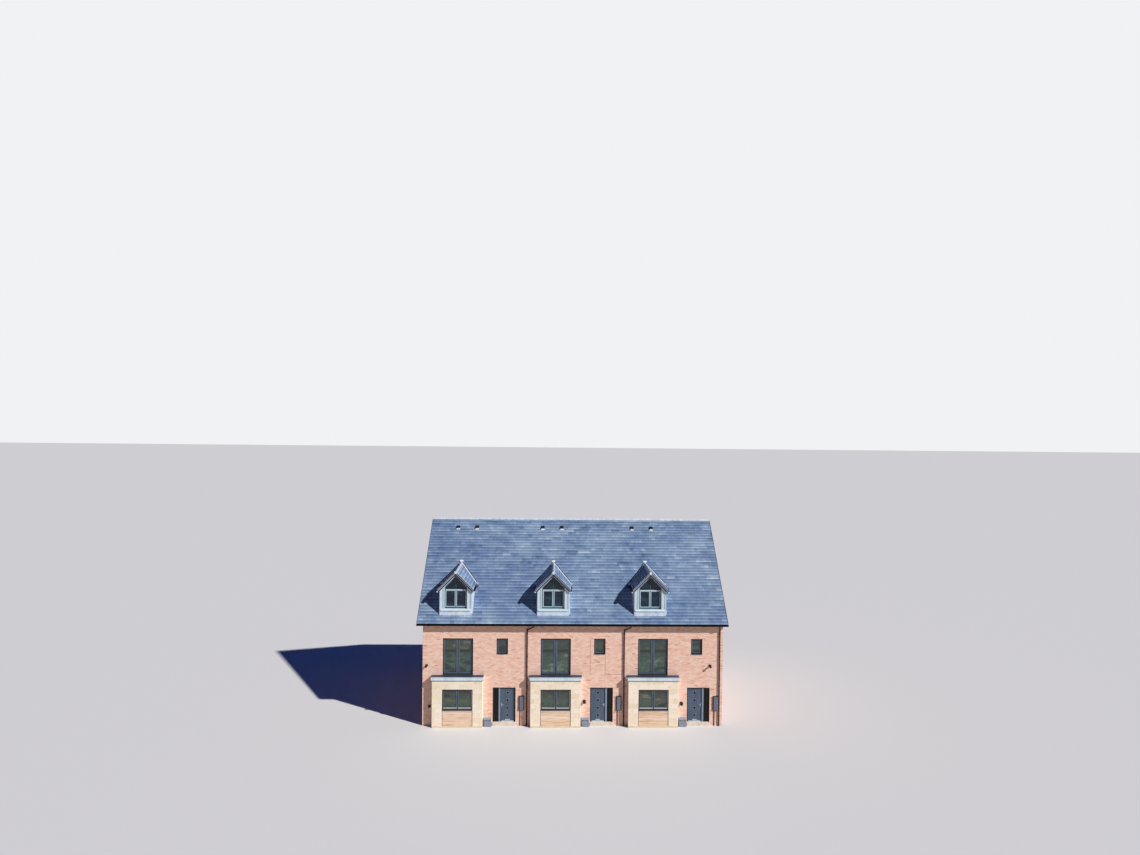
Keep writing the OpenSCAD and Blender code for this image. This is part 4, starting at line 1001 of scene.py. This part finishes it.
gaskets, casings, glint_bars = bmesh.new(), bmesh.new(), []
for middle in house_middles:
    for (x0, x1, z0, z1), front, back in (
            (tall_window, -5.242, -5.184), (small_window, -5.242, -5.184), (bay_window, -5.582, -5.524)):
        left, right = middle + x0 + 0.001, middle + x1 - 0.001
        # near-black casings in the openings, partly painted shade of the reveals
        ring(casings, (left, front, z0 + 0.026), (right, back, z1 - 0.001), 0.044)
    for window, count, sash, front, back in (
            (tall_window, 2, wide_sash, -5.174, -5.1643), (small_window, 1, narrow_sash, -5.174, -5.1643),
            (rear_low_window, 2, narrow_sash, 5.174, 5.1643),
            (rear_wide_window, 2, narrow_sash, 5.174, 5.1643),
            (small_window, 1, narrow_sash, 5.174, 5.1643), (bay_window, 2, narrow_sash, -5.514, -5.5036)):
        for x0, x1, z0, z1 in window_lights(middle, window, count, sash):
            ring(gaskets, (x0 - 0.001, front, z0 - 0.001), (x1 + 0.001, back, z1 + 0.001), 0.013)
    for x0, x1, z0, z1 in window_lights(middle, bay_window, 2):
        # bright bars on the bays' sashes: painted glints along the bottom and right edges
        glint_bars.append(((x0 - 0.02, -5.556, z0 - 0.040), (x1 + 0.02, -5.530, z0 - 0.002)))
    glint_bars.append(((x1 + 0.002, -5.548, z0), (x1 + 0.036, -5.530, z1)))
place_piece("window_gaskets", gaskets, rubber)
place_piece("window_casings", casings, dark_frame_coat)
blocks_piece("weather_bars", glint_bars, bright_coat, 0.004)

# Meter cupboards and gas boxes: doors with hinges and a lock

meter_left, meter_right, meter_face, gas_face = 2.57, 2.89, -5.319, -5.460
meter_doors, gas_doors, hinges = [], [], []
form = bmesh.new()
facing_out = Matrix.Rotation(math.pi / 2, 4, "X")
for middle in house_middles:
    x0, x1 = middle + meter_left, middle + meter_right
    meter_doors.append(((x0 + 0.045, meter_face, 0.945), (x1 - 0.012, -5.308, 1.775)))
    hinges += [((x0 + 0.036, -5.324, z), (x0 + 0.054, -5.309, z + 0.07)) for z in (1.05, 1.335, 1.62)]
    gas_doors.append(((middle + 0.505, gas_face, 0.035), (middle + 0.895, -5.448, 0.385)))
    hinges += [((middle + x, -5.466, 0.36), (middle + x + 0.06, -5.450, 0.392)) for x in (0.54, 0.80)]
    for lock in ((x1 - 0.05, meter_face, 1.37), (middle + 0.70, gas_face, 0.09)):
        collar(form, lock, 0.014, -0.002, 0.008, facing_out)
blocks_piece("meter_doors", meter_doors, meter_door_skin, 0.004)
blocks_piece("gas_box_doors", gas_doors, gas_box_shell, 0.004)
blocks_piece("box_hinges", hinges, rubber, 0.003)
place_piece("box_locks", form, brushed_steel)

# Movement joints of the middle house, filled with sealant: two upright, and one along their foot

joint_front, joint_back, joint_half, joint_foot = -5.2562, -5.249, 0.009, 3.13
joint_left, joint_right = 0.97, 1.885
joints = [((x - joint_half, joint_front, joint_foot), (x + joint_half, joint_back, top))
          for x, top in ((joint_left, 5.285), (joint_right, 4.334))]
joints.append(((1.878, joint_front, joint_foot - joint_half), (2.91, joint_back, joint_foot + joint_half)))
blocks_piece("movement_joints", joints, sealant, 0.001)

# Front doors: a cap on the post, an outer pane on the side light, and a weather bar that swings with
# each leaf; each set is placed from its middle, and the left house's is mirrored

door_middle, post_from, side_light_from, leaf_from = 1.68, 0.282, 0.482, -0.209
posts, outer_panes = [], []
for side, house, way in zip(("left", "middle", "right"), house_middles, (-1, 1, 1)):
    post, side_light, leaf = [house + door_middle + way * x for x in (post_from, side_light_from, leaf_from)]
    posts.append(((post - 0.050, -5.196, 0.215), (post + 0.050, -5.183, 2.27)))
    outer_panes.append(((side_light - 0.146, -5.168, 0.272), (side_light + 0.146, -5.163, 2.253)))
    blocks_piece("weather_bar_" + side, [((leaf - 0.36, -5.176, 0.226), (leaf + 0.36, -5.152, 0.262))],
                 bright_coat, 0.005, "door_" + side)
blocks_piece("door_post_caps", posts, post_coat, 0.004)
blocks_piece("side_light_panes", outer_panes, door_glass, 0.001)

# Rear doors: a raised panel, a weather bar, a glazed upper light with a bead, and a lever handle

leaf_face = 5.171
leaf_skin = leaf_face - 0.002
panels, panes, handles = [], [], []
form = bmesh.new()
for middle in house_middles:
    x0, x1 = middle + rear_door[0] + 0.06, middle + rear_door[1] - 0.06
    panels.append(((x0 + 0.13, leaf_skin, 0.42), (x1 - 0.13, leaf_face + 0.011, 1.06)))
    panels.append(((x0 + 0.03, leaf_skin, 0.275), (x1 - 0.03, leaf_face + 0.024, 0.315)))
    panes.append(((x0 + 0.15, leaf_skin, 1.24), (x1 - 0.15, leaf_face + 0.006, 2.09)))
    ring(form, (x0 + 0.12, leaf_skin, 1.21), (x1 - 0.12, leaf_face + 0.014, 2.12), 0.034)
    handles.append(((x0 + 0.035, leaf_skin, 1.05), (x0 + 0.075, leaf_face + 0.008, 1.25)))
    handles.append(((x0 + 0.045, leaf_face + 0.006, 1.165), (x0 + 0.065, leaf_face + 0.05, 1.185)))
    handles.append(((x0 + 0.045, leaf_face + 0.036, 1.165), (x0 + 0.165, leaf_face + 0.052, 1.185)))
blocks_piece("rear_door_panels", panels, door_skin, 0.005)
place_piece("rear_door_beads", form, door_skin)
blocks_piece("rear_door_panes", panes, door_glass, 0.002)
blocks_piece("rear_door_handles", handles, brushed_steel, 0.004)


# Light: one warm sun from the upper right and a blue sky, with a pale backdrop and floor


def two_faced(graph, output, thrown, shown):
    """Shows one shader to the camera, gloss and clear glass, and another to the light on the row."""
    rays = add(graph, "ShaderNodeLightPath").outputs
    seen = rays["Is Camera Ray"]
    for kind in ("Is Glossy Ray", "Is Transmission Ray"):
        seen = add(graph, "ShaderNodeMath", {0: seen, 1: rays[kind]}, operation="MAXIMUM")
    both = add(graph, "ShaderNodeMixShader", {0: seen, 1: thrown, 2: shown})
    wire(graph, graph.nodes[output], {"Surface": both})


sun = bpy.data.objects.new("sun", bpy.data.lights.new("sun", "SUN"))
scene.collection.objects.link(sun)
sun.data.energy = 4.6
sun.data.color = linear("#fffaf3")[:3]
sun.data.angle = math.radians(1.2)
sun.rotation_euler = Vector((1.66, -1.0, 1.44)).to_track_quat("Z", "Y").to_euler()

scene.world = bpy.data.worlds.new("pale_sky")
scene.world.use_nodes = True
graph = scene.world.node_tree
two_faced(graph, "World Output",
          add(graph, "ShaderNodeBackground", {"Color": linear("#5a87fa"), "Strength": 0.12}),
          add(graph, "ShaderNodeBackground", {"Color": linear("#f1f2f3"), "Strength": 1.0}))

# Matt floor paint: pale grey where it is seen, warm in the light that it throws back on the walls
floor_paint = bpy.data.materials.new("studio_floor_matt")
floor_paint.use_nodes = True
graph = floor_paint.node_tree
two_faced(graph, "Material Output", add(graph, "ShaderNodeBsdfDiffuse", {"Color": linear("#ddd0c0")}),
          add(graph, "ShaderNodeBsdfDiffuse", {"Color": linear("#dadbdc")}))
floor = bpy.data.objects.new("floor", bpy.data.meshes.new("floor"))
scene.collection.objects.link(floor)
form = bmesh.new()
bmesh.ops.create_grid(form, x_segments=1, y_segments=1, size=400)
form.to_mesh(floor.data)
form.free()
floor.data.materials.append(floor_paint)
floor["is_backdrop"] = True

low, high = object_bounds()
